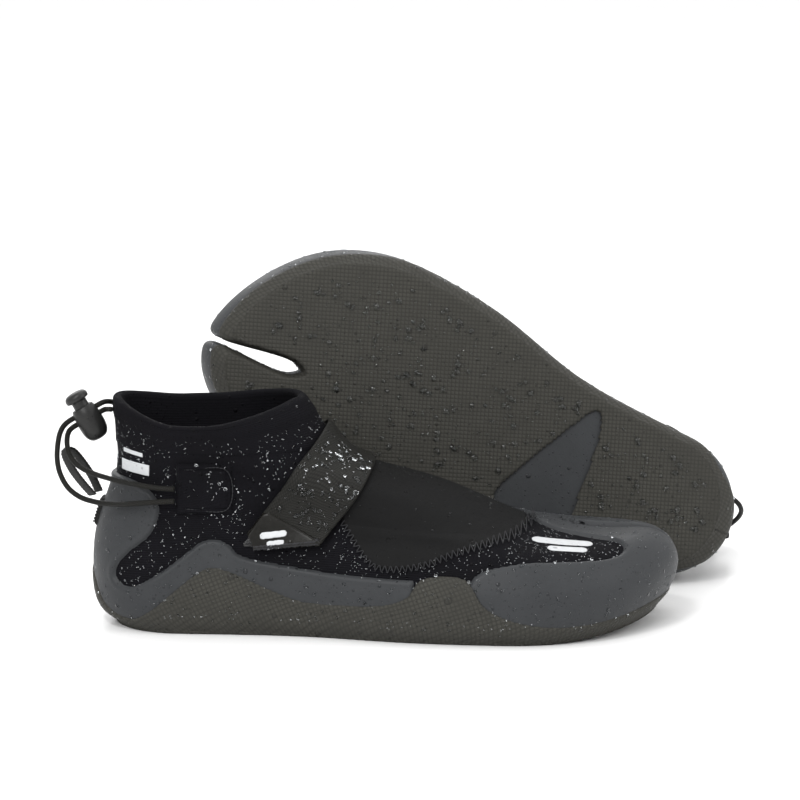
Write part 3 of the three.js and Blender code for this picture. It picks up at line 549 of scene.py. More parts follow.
def span_node(tree, value, low, high, to_low=0.0, to_high=1.0):
    n = tree.nodes.new("ShaderNodeMapRange")
    n.interpolation_type = "SMOOTHSTEP"
    for key, v in (("Value", value), ("From Min", low), ("From Max", high),
                   ("To Min", to_low), ("To Max", to_high)):
        if isinstance(v, (int, float)):
            n.inputs[key].default_value = v
        else:
            tree.links.new(v, n.inputs[key])
    return n.outputs["Result"]


def noise_node(tree, vector, scale, detail=3.0, rough=0.5):
    n = tree.nodes.new("ShaderNodeTexNoise")
    tree.links.new(vector, n.inputs["Vector"])
    n.inputs["Detail"].default_value, n.inputs["Roughness"].default_value = detail, rough
    if isinstance(scale, (int, float)):
        n.inputs["Scale"].default_value = scale
    else:
        tree.links.new(scale, n.inputs["Scale"])
    return n.outputs["Fac"]


def drops_group():
    """Beads of water: each cell of a jittered lattice holds one round drop of its own size, as a dome. The
    outputs are the dome's height from 0 to 1 and a mask of where there is water."""
    tree, come, go = group("water_beads", [("Vector", None), ("Scale", 150.0), ("Share", 0.5)], ["Height", "Mask"])
    total = None
    for factor, seed in ((1.0, 0.0), (2.3, 0.31), (4.6, 0.57)):
        cell = tree.nodes.new("ShaderNodeTexVoronoi")
        cell.feature = "F1"
        cell.inputs["Randomness"].default_value = 1.0
        shift = tree.nodes.new("ShaderNodeVectorMath")
        shift.operation = "ADD"
        shift.inputs[1].default_value = (seed, seed * 0.7, seed * 1.3)
        tree.links.new(come.outputs["Vector"], shift.inputs[0])
        tree.links.new(shift.outputs[0], cell.inputs["Vector"])
        tree.links.new(math_node(tree, "MULTIPLY", come.outputs["Scale"], factor), cell.inputs["Scale"])
        parts = tree.nodes.new("ShaderNodeSeparateColor")
        tree.links.new(cell.outputs["Color"], parts.inputs[0])
        there = math_node(tree, "LESS_THAN", parts.outputs[0], come.outputs["Share"])
        size = math_node(tree, "MULTIPLY", math_node(tree, "POWER", parts.outputs[1], 1.6), 0.26)
        size = math_node(tree, "ADD", size, 0.08)
        near = math_node(tree, "DIVIDE", cell.outputs["Distance"], size)
        dome = math_node(tree, "SUBTRACT", 1.0, math_node(tree, "MULTIPLY", near, near), clamp=True)
        dome = math_node(tree, "POWER", dome, 0.5)
        dome = math_node(tree, "MULTIPLY", math_node(tree, "MULTIPLY", dome, there), size)
        dome = math_node(tree, "DIVIDE", dome, 0.34 * factor)
        total = dome if total is None else math_node(tree, "MAXIMUM", total, dome)
    tree.links.new(total, go.inputs["Height"])
    tree.links.new(span_node(tree, total, 0.0, 0.04), go.inputs["Mask"])
    return tree


def pits_group():
    """Moulded tread: a staggered lattice of rounded studs, the product of two crossed waves of the pattern's
    own coordinates, worn uneven by noise. The output is the height from 0 to 1."""
    tree, come, go = group("tread_lattice", [("Vector", None), ("Pitch", 0.0023), ("Wear", 0.35)], ["Height"])
    parts = tree.nodes.new("ShaderNodeSeparateXYZ")
    tree.links.new(come.outputs["Vector"], parts.inputs[0])
    k = math_node(tree, "DIVIDE", math.pi, come.outputs["Pitch"])
    waves = []
    for a, b in ((0.94, 0.34), (0.34, -0.94)):
        u = math_node(tree, "ADD", math_node(tree, "MULTIPLY", parts.outputs[0], a),
                      math_node(tree, "MULTIPLY", parts.outputs[1], b))
        wave = math_node(tree, "ABSOLUTE", math_node(tree, "SINE", math_node(tree, "MULTIPLY", u, k)))
        waves.append(math_node(tree, "POWER", wave, 0.7))
    stud = math_node(tree, "MULTIPLY", waves[0], waves[1])
    worn = noise_node(tree, come.outputs["Vector"], 90.0, 4.0, 0.6)
    worn = span_node(tree, worn, 0.35, 0.7)
    worn = math_node(tree, "MULTIPLY", worn, come.outputs["Wear"])
    left = math_node(tree, "SUBTRACT", 1.0, worn)
    tree.links.new(math_node(tree, "MULTIPLY", stud, left), go.inputs["Height"])
    return tree


def knit_group():
    """A fine knitted face: rows of small loops, two phase-shifted waves along and across the pattern."""
    tree, come, go = group("jersey_knit", [("Vector", None), ("Pitch", 0.0009), ("Fuzz", 0.5)], ["Height"])
    parts = tree.nodes.new("ShaderNodeSeparateXYZ")
    tree.links.new(come.outputs["Vector"], parts.inputs[0])
    k = math_node(tree, "DIVIDE", 2 * math.pi, come.outputs["Pitch"])
    across = math_node(tree, "MULTIPLY", parts.outputs[0], k)
    along = math_node(tree, "MULTIPLY", parts.outputs[1], k)
    bend = math_node(tree, "MULTIPLY", math_node(tree, "ABSOLUTE", math_node(tree, "SINE", across)), 1.4)
    loops = math_node(tree, "SINE", math_node(tree, "ADD", along, bend))
    cols = math_node(tree, "ABSOLUTE", math_node(tree, "SINE", across))
    knit = math_node(tree, "ADD", math_node(tree, "MULTIPLY", loops, 0.25), math_node(tree, "MULTIPLY", cols, 0.4))
    fuzz = noise_node(tree, come.outputs["Vector"], 1800.0, 3.0, 0.7)
    fuzz = math_node(tree, "MULTIPLY", fuzz, come.outputs["Fuzz"])
    tree.links.new(math_node(tree, "ADD", knit, fuzz), go.inputs["Height"])
    return tree


def mottle_group():
    """Uneven colour from handling and drying: two sizes of soft noise mixed, from 0 to 1."""
    tree, come, go = group("mottle", [("Vector", None), ("Scale", 40.0)], ["Fac"])
    wide = noise_node(tree, come.outputs["Vector"], come.outputs["Scale"], 4.0, 0.55)
    finer = math_node(tree, "MULTIPLY", come.outputs["Scale"], 14.0)
    fine = noise_node(tree, come.outputs["Vector"], finer, 3.0, 0.6)
    both = math_node(tree, "ADD", math_node(tree, "MULTIPLY", wide, 0.65), math_node(tree, "MULTIPLY", fine, 0.35))
    tree.links.new(span_node(tree, both, 0.3, 0.7), go.inputs["Fac"])
    return tree


GROUPS = {}


def groups():
    if not GROUPS:
        GROUPS.update(beads=drops_group(), tread=pits_group(), knit=knit_group(), mottle=mottle_group())
    return GROUPS


def bump_node(tree, height, distance, normal=None):
    n = tree.nodes.new("ShaderNodeBump")
    n.inputs["Distance"].default_value = distance
    tree.links.new(height, n.inputs["Height"])
    if normal:
        tree.links.new(normal, n.inputs["Normal"])
    return n.outputs["Normal"]


WET_ROUGHNESS = 0.12
WET_TONE = (0.3, 0.3, 0.32, 1)
WET_SHARE = 0.35  # of the wet tone where a bead stands
MOTTLE_SCALE = 40.0
GRAIN_SCALE = 900.0


def shaded(name, color, second, rough, texture=None, pitch=0.0023, relief=0.0005, wear=0.3, beads=0.35,
           bead_scale=190.0, bead_height=0.0016, sheen=0.0, specular=0.5, painted_hollow_shade=None):
    """A finish: its colour varies between two by the mottle, its texture raises a relief and darkens the hollows,
    and beads of water stand on it, smooth and a little darker beneath."""
    m = bpy.data.materials.new(name)
    m.use_nodes = True
    tree = m.node_tree
    tree.nodes.clear()
    out = tree.nodes.new("ShaderNodeOutputMaterial")
    shader = tree.nodes.new("ShaderNodeBsdfPrincipled")
    tree.links.new(shader.outputs[0], out.inputs[0])
    place = tree.nodes.new("ShaderNodeTexCoord")
    uv = tree.nodes.new("ShaderNodeUVMap")
    uv.uv_map = "pattern"

    def use(key, vector, **values):
        n = tree.nodes.new("ShaderNodeGroup")
        n.node_tree = groups()[key]
        tree.links.new(vector, n.inputs["Vector"])
        for label, v in values.items():
            n.inputs[label].default_value = v
        return n

    mottle = use("mottle", place.outputs["Object"], Scale=MOTTLE_SCALE).outputs["Fac"]
    mix = tree.nodes.new("ShaderNodeMix")
    mix.data_type = "RGBA"
    tree.links.new(mottle, mix.inputs["Factor"])
    mix.inputs["A"].default_value, mix.inputs["B"].default_value = (*color, 1), (*second, 1)
    base = mix.outputs["Result"]
    if texture:
        keys = {"Pitch": pitch, ("Wear" if texture == "tread" else "Fuzz"): wear}
        height = use(texture, uv.outputs[0], **keys).outputs["Height"]
        # Painted shade: the colour goes towards a darker tone where the texture's relief is low, in its hollows.
        hollow_shade_mix = tree.nodes.new("ShaderNodeMix")
        hollow_shade_mix.data_type = "RGBA"
        tree.links.new(span_node(tree, height, 0.05, 0.75), hollow_shade_mix.inputs["Factor"])
        hollow_shade_mix.inputs["A"].default_value = (*(painted_hollow_shade or [c * 0.35 for c in color]), 1)
        tree.links.new(base, hollow_shade_mix.inputs["B"])
        base = hollow_shade_mix.outputs["Result"]
    else:
        height = noise_node(tree, place.outputs["Object"], GRAIN_SCALE, 4.0, 0.6)
    normal = bump_node(tree, height, relief)
    roughness = span_node(tree, mottle, 0.0, 1.0, rough - 0.06, rough + 0.06)
    if beads:
        water = use("beads", place.outputs["Object"], Scale=bead_scale, Share=beads)
        normal = bump_node(tree, water.outputs["Height"], bead_height, normal)
        wet = tree.nodes.new("ShaderNodeMix")
        wet.data_type = "FLOAT"
        tree.links.new(water.outputs["Mask"], wet.inputs["Factor"])
        tree.links.new(roughness, wet.inputs["A"])
        wet.inputs["B"].default_value = WET_ROUGHNESS
        roughness = wet.outputs["Result"]
        damp = tree.nodes.new("ShaderNodeMix")
        damp.data_type, damp.blend_type = "RGBA", "MULTIPLY"
        tree.links.new(math_node(tree, "MULTIPLY", water.outputs["Mask"], WET_SHARE), damp.inputs["Factor"])
        tree.links.new(base, damp.inputs["A"])
        damp.inputs["B"].default_value = WET_TONE
        base = damp.outputs["Result"]
    tree.links.new(base, shader.inputs["Base Color"])
    tree.links.new(roughness, shader.inputs["Roughness"])
    tree.links.new(normal, shader.inputs["Normal"])
    shader.inputs["Sheen Weight"].default_value = sheen
    shader.inputs["Sheen Roughness"].default_value = 0.4
    shader.inputs["Specular IOR Level"].default_value = specular
    m.diffuse_color = (*color, 1)
    return m


def water_finish(name="water", clear=1.0, rough=0.04):
    """Water, a little uneven so that its glints differ from bead to bead, and milky where it is less clear."""
    m = bpy.data.materials.new(name)
    m.use_nodes = True
    tree = m.node_tree
    shader = tree.nodes["Principled BSDF"]
    place = tree.nodes.new("ShaderNodeTexCoord")
    ripple = noise_node(tree, place.outputs["Object"], 420.0, 2.0, 0.5)
    tree.links.new(bump_node(tree, ripple, 0.0002), shader.inputs["Normal"])
    shader.inputs["Base Color"].default_value = (0.9, 0.93, 0.95, 1)
    shader.inputs["Roughness"].default_value = rough
    shader.inputs["IOR"].default_value = 1.33
    shader.inputs["Transmission Weight"].default_value = clear
    return m


FINISH = {}


def finish(name):
    """The boots' finishes, each made once from the colours of the panel."""
    if name not in FINISH:
        c = bpy.context.scene.boot_colours
        neo, sole, smooth, strap = (list(v) for v in (c.neoprene, c.sole, c.rubber, c.strap))

        def tone(v, k):
            return [x * k for x in v]

        # The darker tones given for the textures' hollows are painted shade.
        FINISH[name] = {
            "neoprene": lambda: shaded("neoprene", neo, tone(neo, 1.7), 0.85, texture="knit", pitch=0.0011,
                                       relief=0.00012, wear=0.6, beads=0.4, bead_scale=330.0, bead_height=0.0006,
                                       specular=0.06, painted_hollow_shade=tone(neo, 0.6)),
            "lining": lambda: shaded("lining", tone(neo, 0.8), tone(neo, 1.3), 0.9, texture="knit", pitch=0.0016,
                                     relief=0.0003, wear=0.8, beads=0.0, specular=0.1),
            "sole": lambda: shaded("sole_rubber", sole, tone(sole, 1.3), 0.66, texture="tread", pitch=0.0019,
                                   relief=0.00022, wear=0.45, beads=0.2, bead_scale=150.0, bead_height=0.0005,
                                   specular=0.14, painted_hollow_shade=tone(sole, 0.8)),
            "rubber": lambda: shaded("smooth_rubber", smooth, tone(smooth, 1.2), 0.5, relief=0.00006, beads=0.25,
                                     bead_scale=260.0, bead_height=0.0005, specular=0.17),
            "panel": lambda: shaded("stretch_panel", (0.0066, 0.0066, 0.0067), (0.011, 0.011, 0.011), 0.6,
                                    texture="knit", pitch=0.0006, relief=0.0001, wear=0.3, beads=0.08,
                                    bead_scale=260.0, bead_height=0.0004, specular=0.08,
                                    painted_hollow_shade=(0.0048, 0.0048, 0.005)),
            "strap": lambda: shaded("strap_rubber", strap, tone(strap, 1.35), 0.45, texture="tread", pitch=0.0012,
                                    relief=0.00014, wear=0.3, beads=0.35, bead_scale=120.0, bead_height=0.0005,
                                    specular=0.1, painted_hollow_shade=tone(strap, 0.62)),
            "moulded": lambda: shaded("moulded", (0.005, 0.0048, 0.004), (0.010, 0.0095, 0.008), 0.22,
                                      relief=0.00003, beads=0.12, bead_height=0.0004, specular=0.18),
            "pile": lambda: shaded("pile", (0.006, 0.006, 0.007), (0.012, 0.012, 0.013), 0.9, texture="knit",
                                   pitch=0.0007, relief=0.0005, wear=1.0, beads=0.0, sheen=0.3, specular=0.1),
            "webbing": lambda: shaded("webbing", (0.006, 0.006, 0.0058), (0.012, 0.012, 0.011), 0.7,
                                      texture="knit", pitch=0.0012, relief=0.0003, wear=0.4, beads=0.0,
                                      specular=0.2),
            "cord": lambda: shaded("cord", (0.007, 0.0068, 0.0056), (0.012, 0.0115, 0.0095), 0.55, texture="tread",
                                   pitch=0.0009, relief=0.0002, wear=0.2, beads=0.0, specular=0.16),
            "plastic": lambda: shaded("plastic", (0.010, 0.010, 0.0098), (0.018, 0.018, 0.0176), 0.32,
                                      relief=0.00004, beads=0.12, bead_height=0.0004, specular=0.22),
            "steel": lambda: shaded("spring_steel", (0.5, 0.5, 0.52), (0.6, 0.6, 0.6), 0.3, relief=0.00002,
                                    beads=0.0),
            "foam": lambda: shaded("insole_foam", (0.012, 0.012, 0.014), (0.022, 0.022, 0.024), 0.85,
                                   texture="knit", pitch=0.002, relief=0.0004, wear=0.6, beads=0.0),
            "print": lambda: shaded("pale_print", (0.44, 0.45, 0.46), (0.54, 0.55, 0.56), 0.5, relief=0.00004,
                                    beads=0.1, bead_height=0.0004, specular=0.2),
            "thread": lambda: shaded("thread", (0.012, 0.012, 0.014), (0.024, 0.024, 0.026), 0.6, relief=0.0001,
                                     beads=0.0, specular=0.2),
            "water": water_finish,
            # Less clear and milky white: a painted highlight, so that the fine beads show as pale specks as if they
            # caught the lamps.
            "painted_glint_water": lambda: water_finish("painted_glint_water", 0.86, 0.08),
        }[name]()
    return FINISH[name]


def dress(obj, material, slot, body, *nodes):
    """Gives a piece its finish, its record slot, the body it moves with and the solids it stands for."""
    obj.data.materials.clear()
    obj.data.materials.append(finish(material))
    if nodes:
        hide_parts(*nodes)
    if body:
        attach(obj, body)
    return obj


def paint_node(node, material):
    """A solid whose own shape is right keeps it and takes a better finish."""
    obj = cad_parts[node]
    if not obj.data.materials:
        obj.data.materials.append(finish(material))
    for s in obj.material_slots:
        s.material = finish(material)


SIDES = ("right", "left")


# ---- Pieces -------------------------------------------------------------------------------------------
def creases(strength):
    """Soft folds of neoprene round the ankle: slow waves across the height that fade away from the ankle."""
    wave = np.sin(Z * 0.42 + X * 0.11 + 1.3 * np.sin(X * 0.07) + np.where(Y > 0, 1.1, 0.0))
    other = np.sin(Z * 0.27 - X * 0.19 + 0.7)
    near = np.exp(-((Z - 72) / 20) ** 2) * np.exp(-((X - 62) / 42) ** 2)
    return strength * near * (0.6 * wave + 0.4 * other)


def upper(side):
    """The neoprene: every second ring and column of the form, up to just inside the hem, with soft folds at the
    ankle and a wall turned inwards."""
    p = (FORM + OUT * (creases(0.5) - 0.02)[:, :, None])[::2, ::2]
    top = RIM_HEIGHT - HEM_DEPTH + 6
    flat = p.reshape(-1, 3)
    faces = grid_faces(p.shape[0], p.shape[1], wrap=True)
    faces = faces[(flat[faces][:, :, 2] < top).all(axis=1)]
    # The cap alone lines the cleft's tight inner corner. The underside stays open above the sole.
    corner = np.hypot(flat[:, 0] - CLEFT_CORNER[0], flat[:, 1] - CLEFT_CORNER[1]) < CORNER_RADIUS
    faces = faces[~corner[faces].all(axis=1)]
    points, faces, pattern = compact(flat, faces, PATTERN[::2, ::2].reshape(-1, 2))
    obj = walled(make_mesh("neoprene_upper_skin", side, points, faces, pattern), NEOPRENE)
    dress(obj, "neoprene", "neoprene", side + "_boot", side + "_neoprene_upper")
    obj.data.materials.append(finish("lining"))
    obj.modifiers["wall"].material_offset = 1
    return obj


def ring_at(height):
    """The form's points and directions at a height of each column's own: rows mixed by the height between them."""
    start = np.searchsorted(ROWS, 7.5)
    z = Z[start:]
    at = np.array([np.interp(h, z[:, j], np.arange(len(z))) for j, h in enumerate(height)])
    i = np.clip(at.astype(int), 0, len(z) - 2) + start
    t = (at + start - i)[:, None]
    j = np.arange(FORM.shape[1])
    p = FORM[i, j] * (1 - t) + FORM[i + 1, j] * t
    n = OUT[i, j] * (1 - t) + OUT[i + 1, j] * t
    return p, n / np.linalg.norm(n, axis=1, keepdims=True)


def collar(side):
    """The folded hem: a long closed section of height below the rim and distance out of the form, carried once
    round the ankle, fuller where the drawcord's tunnel runs."""
    rim = np.full(FORM.shape[1], RIM_HEIGHT)
    for _ in range(4):
        p, _n = ring_at(rim)
        rim = RIM_HEIGHT - rim_drop(p[:, 0], p[:, 1])
    rim = soften(rim[:, None], 4, 0, True)[:, 0]
    low = RIM_HEIGHT - HEM_DEPTH - 1
    t = np.linspace(0, 1, 26)
    foot = 0.12  # share of the hem's height in which its foot comes out of the neoprene
    outside = [(1 - u, HEM_OUT * min(1, u / foot) - 0.5 * max(0, 1 - u / foot)) for u in t]
    section = []
    for share, out in outside[:-3]:
        bulge = 0.55 * math.exp(-((share - 0.3) / 0.13) ** 2)
        section.append((share, 0.0, out + bulge))
    turn = np.linspace(0, np.pi, 12)
    middle, radius = HEM_OUT - HEM_WALL / 2, HEM_WALL / 2
    section += [(0.0, -radius + radius * math.sin(a), middle + radius * math.cos(a)) for a in turn]
    section += [(u, -radius * (1 - u), HEM_OUT - HEM_WALL) for u in np.linspace(foot, 1, 14)]
    stride = 2
    rings = []
    for share, lift, out in section:
        p, n = ring_at(rim * (1 - share) + low * share + lift)
        level = n * [1, 1, 0.25]
        level /= np.linalg.norm(level, axis=1, keepdims=True)
        rings.append((p + level * out)[::stride])
    rings = np.stack(rings)
    uv = np.stack(np.broadcast_arrays(AROUND[None, ::stride], np.linspace(0, 50, len(section))[:, None]), axis=2)
    faces = grid_faces(rings.shape[0], rings.shape[1], wrap=True, wrap_rows=True)
    obj = make_mesh("ankle_collar_hem", side, rings.reshape(-1, 3), faces, uv.reshape(-1, 2))
    return dress(obj, "neoprene", "neoprene", side + "_boot", side + "_ankle_collar")


def above_sole():
    """Height above the sole's wavy edge."""
    line = catmull(SOLE_LINE, 6)
    return Z - np.interp(X, line[:, 0], line[:, 1])


def sole_depth():
    """Distance below the sole's wavy edge, outside the arch's window."""
    line = depth_inside(X, Z, under(SOLE_LINE))
    window = depth_inside(X, Y, ARCH_WINDOW)
    low = np.where(Z < 17.5, window, -6)
    return np.minimum(line, -low)


def sole_sides():
    """The sole's side face: out of the form by its wall, and its foot drawn down to the ground in a curve."""
    up = np.clip(ROWS / 2, 0, 1)[:, None]
    out = SOLE_SIDE - 1.2 * (1 - up) ** 2
    level = OUT.copy()
    level[:, :, 2] = np.where(level[:, :, 2] < 0, level[:, :, 2] * up, level[:, :, 2])
    drop = SOLE_UNDER * (1 - up) ** 2
    return level, out, drop


def plan_grid(outline, step, height, lift, window=None, keep_inside=True, flip=True):
    """A flat-laid sheet: a square lattice seen from above, cut to an outline, at a height of its own; its last
    rows turn up past the outline so that the edge is hidden."""
    lo, hi = outline.min(0) - 2, outline.max(0) + 2
    x, y = np.meshgrid(np.arange(lo[0], hi[0], step), np.arange(lo[1], hi[1], step), indexing="xy")
    depth = depth_inside(x, y, outline)
    if window is not None:
        inner = depth_inside(x, y, window)
        depth = np.minimum(depth, inner if keep_inside else -inner)
    z = height(x, y) + lift * np.clip(-depth, 0, 3)
    faces = grid_faces(x.shape[0], x.shape[1])
    flat = depth.reshape(-1)
    faces = faces[(flat[faces] > -step).all(axis=1)]
    if flip:
        faces = faces[:, ::-1]
    points = np.stack([x, y, z], axis=2).reshape(-1, 3)
    return compact(points, faces, points[:, :2])


def joined(parts):
    """Several (points, faces, uv) as one."""
    start, points, faces, uv = 0, [], [], []
    for p, f, u in parts:
        points.append(p)
        faces.append(np.where(f >= 0, f + start, -1))
        uv.append(u)
        start += len(p)
    return np.vstack(points), np.vstack(faces), np.vstack(uv)


def outline_at(row, out):
    """One row of the form seen from above, moved this far out."""
    level = OUT[0] * [1, 1, 0]
    level /= np.maximum(np.linalg.norm(level, axis=1, keepdims=True), 1e-9)
    return (FORM[row] + level * out)[:, :2]


def outsole(side):
    """The rubber sole: its sides follow the form, its underside is a sheet with the toe's spring, and both leave
    out the arch's window."""
    depth = sole_depth()
    level, out, drop = sole_sides()
    height = SUNK + (out - SUNK) * rise(depth, 1.3) + np.minimum(depth, 0) * SINKING
    height = np.where(ROWS[:, None] < 0.05, out, height)
    p = FORM + level * height[:, :, None]
    p[:, :, 2] -= drop
    flat = depth.reshape(-1)
    faces = trimmed(grid_faces(*X.shape, wrap=True), flat)
    sides = compact(p.reshape(-1, 3), faces, PATTERN.reshape(-1, 2))
    outline = (p[0, :, :2] + np.roll(p[0, :, :2], 1, axis=0)) / 2
    window = np.array(ARCH_WINDOW, float)
    sheet = plan_grid(outline, LATTICE, lambda x, y: toe_spring(x), 0.9, window, keep_inside=False)
    obj = walled(make_mesh("outsole_rubber", side, *joined([sides, sheet])), 1.6)
    return dress(obj, "sole", "sole_rubber", side + "_boot", side + "_outsole")


def arch_panel(side):
    """The smooth rubber under the arch: a sheet let into the window, and the medial side that it runs up into."""
    window = np.array(ARCH_WINDOW, float)
    depth = np.where(Z < 17.0, depth_inside(X, Y, ARCH_WINDOW), -6) + 1.2
    level, _out, drop = sole_sides()
    height = SUNK + (RUBBER + 0.2) * rise(depth, 0.8)
    p = FORM + level * height[:, :, None]
    under_side = 1.4  # height of the panel's underside
    p[:, :, 2] -= drop * (SOLE_UNDER - under_side) / SOLE_UNDER
    flat = depth.reshape(-1)
    faces = grid_faces(*X.shape, wrap=True)
    faces = faces[(flat[faces] > -0.4).all(axis=1)]
    sides = compact(p.reshape(-1, 3), faces, PATTERN.reshape(-1, 2))
    grown = window + 1.5 * np.sign(window - [95, 0])
    sheet = plan_grid(p[0, :, :2], LATTICE, lambda x, y: under_side + 0 * x, 0.4, grown)
    obj = walled(make_mesh("arch_rubber", side, *joined([sides, sheet])), 1.0)
    return dress(obj, "rubber", "smooth_rubber", side + "_boot", side + "_arch_panel")


def heel_rand(side):
    """The grey rubber round the heel and low along both sides, down to inside the sole's edge."""
    band = depth_inside(X, Z, under(RAND_LINE))
    depth = np.minimum(np.minimum(band, above_sole() + OVER_SOLE), RAND_END - X)
    obj = skin("heel_rand_rubber", side, depth, RUBBER, 1.2, extra=0.3 * np.exp(-((band - 1.6) / 0.9) ** 2))
    return dress(obj, "rubber", "smooth_rubber", side + "_boot", side + "_heel_rand")


def cap_outline():
    line = catmull(CAP_LINE, 6)
    return np.vstack([line, [[400, 70], [400, -70]]])


def toe_cap(side):
    """The grey rubber over the toes and into the cleft, with a tongue of neoprene left out on the shoulder."""
    depth = np.minimum(depth_inside(X, Y, cap_outline()), above_sole() + OVER_SOLE)
    obj = skin("toe_cap_rubber", side, depth, RUBBER, 1.2)
    return dress(obj, "rubber", "smooth_rubber", side + "_boot", side + "_toe_cap")


def panel_outline():
    return np.vstack([catmull(PANEL_EDGE, 5), [(215, 75), (150, 110), (121, 86.5), (117, 76)]])


def instep_panel(side):
    """The smooth stretch panel over the instep, from under the strap to the toe cap."""
    depth = np.minimum(depth_inside(X, Z, panel_outline()), -depth_inside(X, Y, cap_outline()) + 0.6)
    obj = skin("instep_panel_fabric", side, depth, PANEL, 1.0, solid=0.9)
    return dress(obj, "panel", "stretch_panel", side + "_boot", side + "_instep_panel")


def band_lines(us, low_lateral, low_medial, count):
    """Lines that cross the instep, each in its own slanting plane: on every column of the form the row where the
    plane is met, in order from the lateral side over the ridge to the medial side, evenly spaced by length."""
    across = ACROSS_STRAP
    columns = np.nonzero(across[0] > 16)[0]
    lines, outs = [], []
    for u in us:
        got = []
        for j in columns:
            k = np.nonzero((across[:-1, j] > u) & (across[1:, j] <= u))[0]
            if len(k):
                k = k[0]
                t = (across[k, j] - u) / (across[k, j] - across[k + 1, j])
                got.append((k, j, t))
        k, j, t = (np.array(v) for v in zip(*got))
        t = t[:, None]
        p = FORM[k, j] * (1 - t) + FORM[k + 1, j] * t
        n = OUT[k, j] * (1 - t) + OUT[k + 1, j] * t
        keep = np.where(p[:, 1] < camber(p[:, 0]), p[:, 2] > low_lateral(p[:, 0]), p[:, 2] > low_medial(p[:, 0]))
        p, n = p[keep], n[keep]
        both = resample(np.hstack([p, n]), count, end=True)
        lines.append(both[:, :3])
        outs.append(both[:, 3:] / np.linalg.norm(both[:, 3:], axis=1, keepdims=True))
    return np.stack(lines, axis=1), np.stack(outs, axis=1)


def strap_end(x):
    return np.interp(x, [40, 70, 109, 140], [37, 39, 42.5, 45])


def strap_section():
    """The strap's section: flat above and below with round edges, as (place across, height out of the form)."""
    r = (STRAP_OVER - STRAP_UNDER) / 2
    mid = (STRAP_OVER + STRAP_UNDER) / 2
    w = STRAP_HALF - r
    top = [(u, STRAP_OVER) for u in np.linspace(-w, w, 15)]
    right = [(w + r * math.sin(a), mid + r * math.cos(a)) for a in np.linspace(0, np.pi, 7)[1:-1]]
    low = [(u, STRAP_UNDER) for u in np.linspace(w, -w, 15)]
    left = [(-w - r * math.sin(a), mid - r * math.cos(a)) for a in np.linspace(0, np.pi, 7)[1:-1]]
    return np.array(top + right + low + left)


def strap(side):
    """The strap: its section carried from the lateral end over the ridge to its root on the medial side."""
    section = strap_section()
    lines, outs = band_lines(section[:, 0], strap_end, lambda x: np.interp(x, [40, 140], [34, 38]), 150)
    lines, outs = soften(lines, 1.2, 0, False), soften(outs, 2, 0, False)
    run = np.concatenate([[0], np.cumsum(np.linalg.norm(np.diff(lines.mean(1), axis=0), axis=1))])
    points = lines + outs * section[None, :, 1, None]
    uv = np.stack(np.broadcast_arrays(run[:, None], section[None, :, 0]), axis=2)
    obj = carried("instep_strap", side, points, uv)
    dress(obj, "strap", "strap_rubber", None, side + "_strap_base", side + "_strap_tail")
    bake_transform(obj)
    return obj


def strap_patch(outline, over, width, under_height, step):
    """A layer on the strap's tail: the strap's own lattice, raised inside an outline seen from the side."""
    us = np.arange(-STRAP_HALF - 0.01, STRAP_HALF + 0.02, step)
    lines, outs = band_lines(us, lambda x: strap_end(x) - 0.6, lambda x: 0 * x + 60, 200)
    keep = lines[:, :, 1].mean(1) < -6
    lines, outs = lines[keep], outs[keep]
    depth = depth_inside(lines[:, :, 0], lines[:, :, 2], outline)
    height = under_height + (over - under_height) * rise(depth, width) + np.minimum(depth, 0) * 0.4
    points = (lines + outs * height[:, :, None]).reshape(-1, 3)
    faces = trimmed(grid_faces(*depth.shape), depth.reshape(-1), -0.8)
    return compact(points, faces, lines[:, :, [0, 2]].reshape(-1, 2))


def strap_tip(side):
    """The moulded end of the strap: a blunt triangle with a raised border, over the tail's last stretch."""
    outline = np.array(TIP_OUTLINE, float)
    patch = strap_patch(outline, TIP_OVER - 0.3, 1.0, STRAP_OVER - 0.4, 0.5)
    obj = walled(make_mesh("strap_tip_moulding", side, *patch), 1.0)
    return dress(obj, "moulded", "moulded", side + "_strap", side + "_strap_tip")


def mark_shapes(centre, size):
    """A plain mark of two slanting bars with round ends, one shorter: outlines seen from the side."""
    a = np.linspace(0, 2 * np.pi, 24, endpoint=False)
    lean = 0.12
    shapes = []
    for dx, dz, long, thick in ((0, 0.16, 1.0, 0.17), (0.1, -0.24, 0.62, 0.13)):
        u = np.where(np.cos(a) > 0, long / 2, -long / 2) + thick * np.cos(a)
        w = thick * np.sin(a)
        u, w = u * size, w * size
        shapes.append(np.stack([centre[0] + dx * size + u, centre[1] + dz * size + w + lean * u], axis=1))
    return shapes


def tip_mark(side):
    """The pale mark printed on the strap's tip."""
    parts = [strap_patch(shape, TIP_OVER - 0.12, 0.3, TIP_OVER - 0.5, 0.35)
             for shape in mark_shapes((87, 45.4), 9.5)]
    obj = walled(make_mesh("tip_mark", side, *joined(parts)), FILM)
    return dress(obj, "print", "moulded", side + "_strap")


def fine_patch(region):
    """The part of the form where a mask holds, on a finer lattice: rows and columns mixed in proportion between
    their neighbours."""
    finer = 3
    i, j = np.nonzero(region)
    i = np.arange(max(i.min() - 2, 0), min(i.max() + 2, len(FORM) - 1), 1 / finer)
    j = np.arange(j.min() - 2, j.max() + 2, 1 / finer)
    both = np.concatenate([FORM, OUT], axis=2)
    i0, j0 = i.astype(int), j.astype(int)
    u, v = (i - i0)[:, None, None], (j - j0)[None, :, None]
    n = FORM.shape[1]
    low = both[i0][:, j0 % n] * (1 - v) + both[i0][:, (j0 + 1) % n] * v
    high = both[i0 + 1][:, j0 % n] * (1 - v) + both[i0 + 1][:, (j0 + 1) % n] * v
    mixed = low * (1 - u) + high * u
    return mixed[:, :, :3], mixed[:, :, 3:]


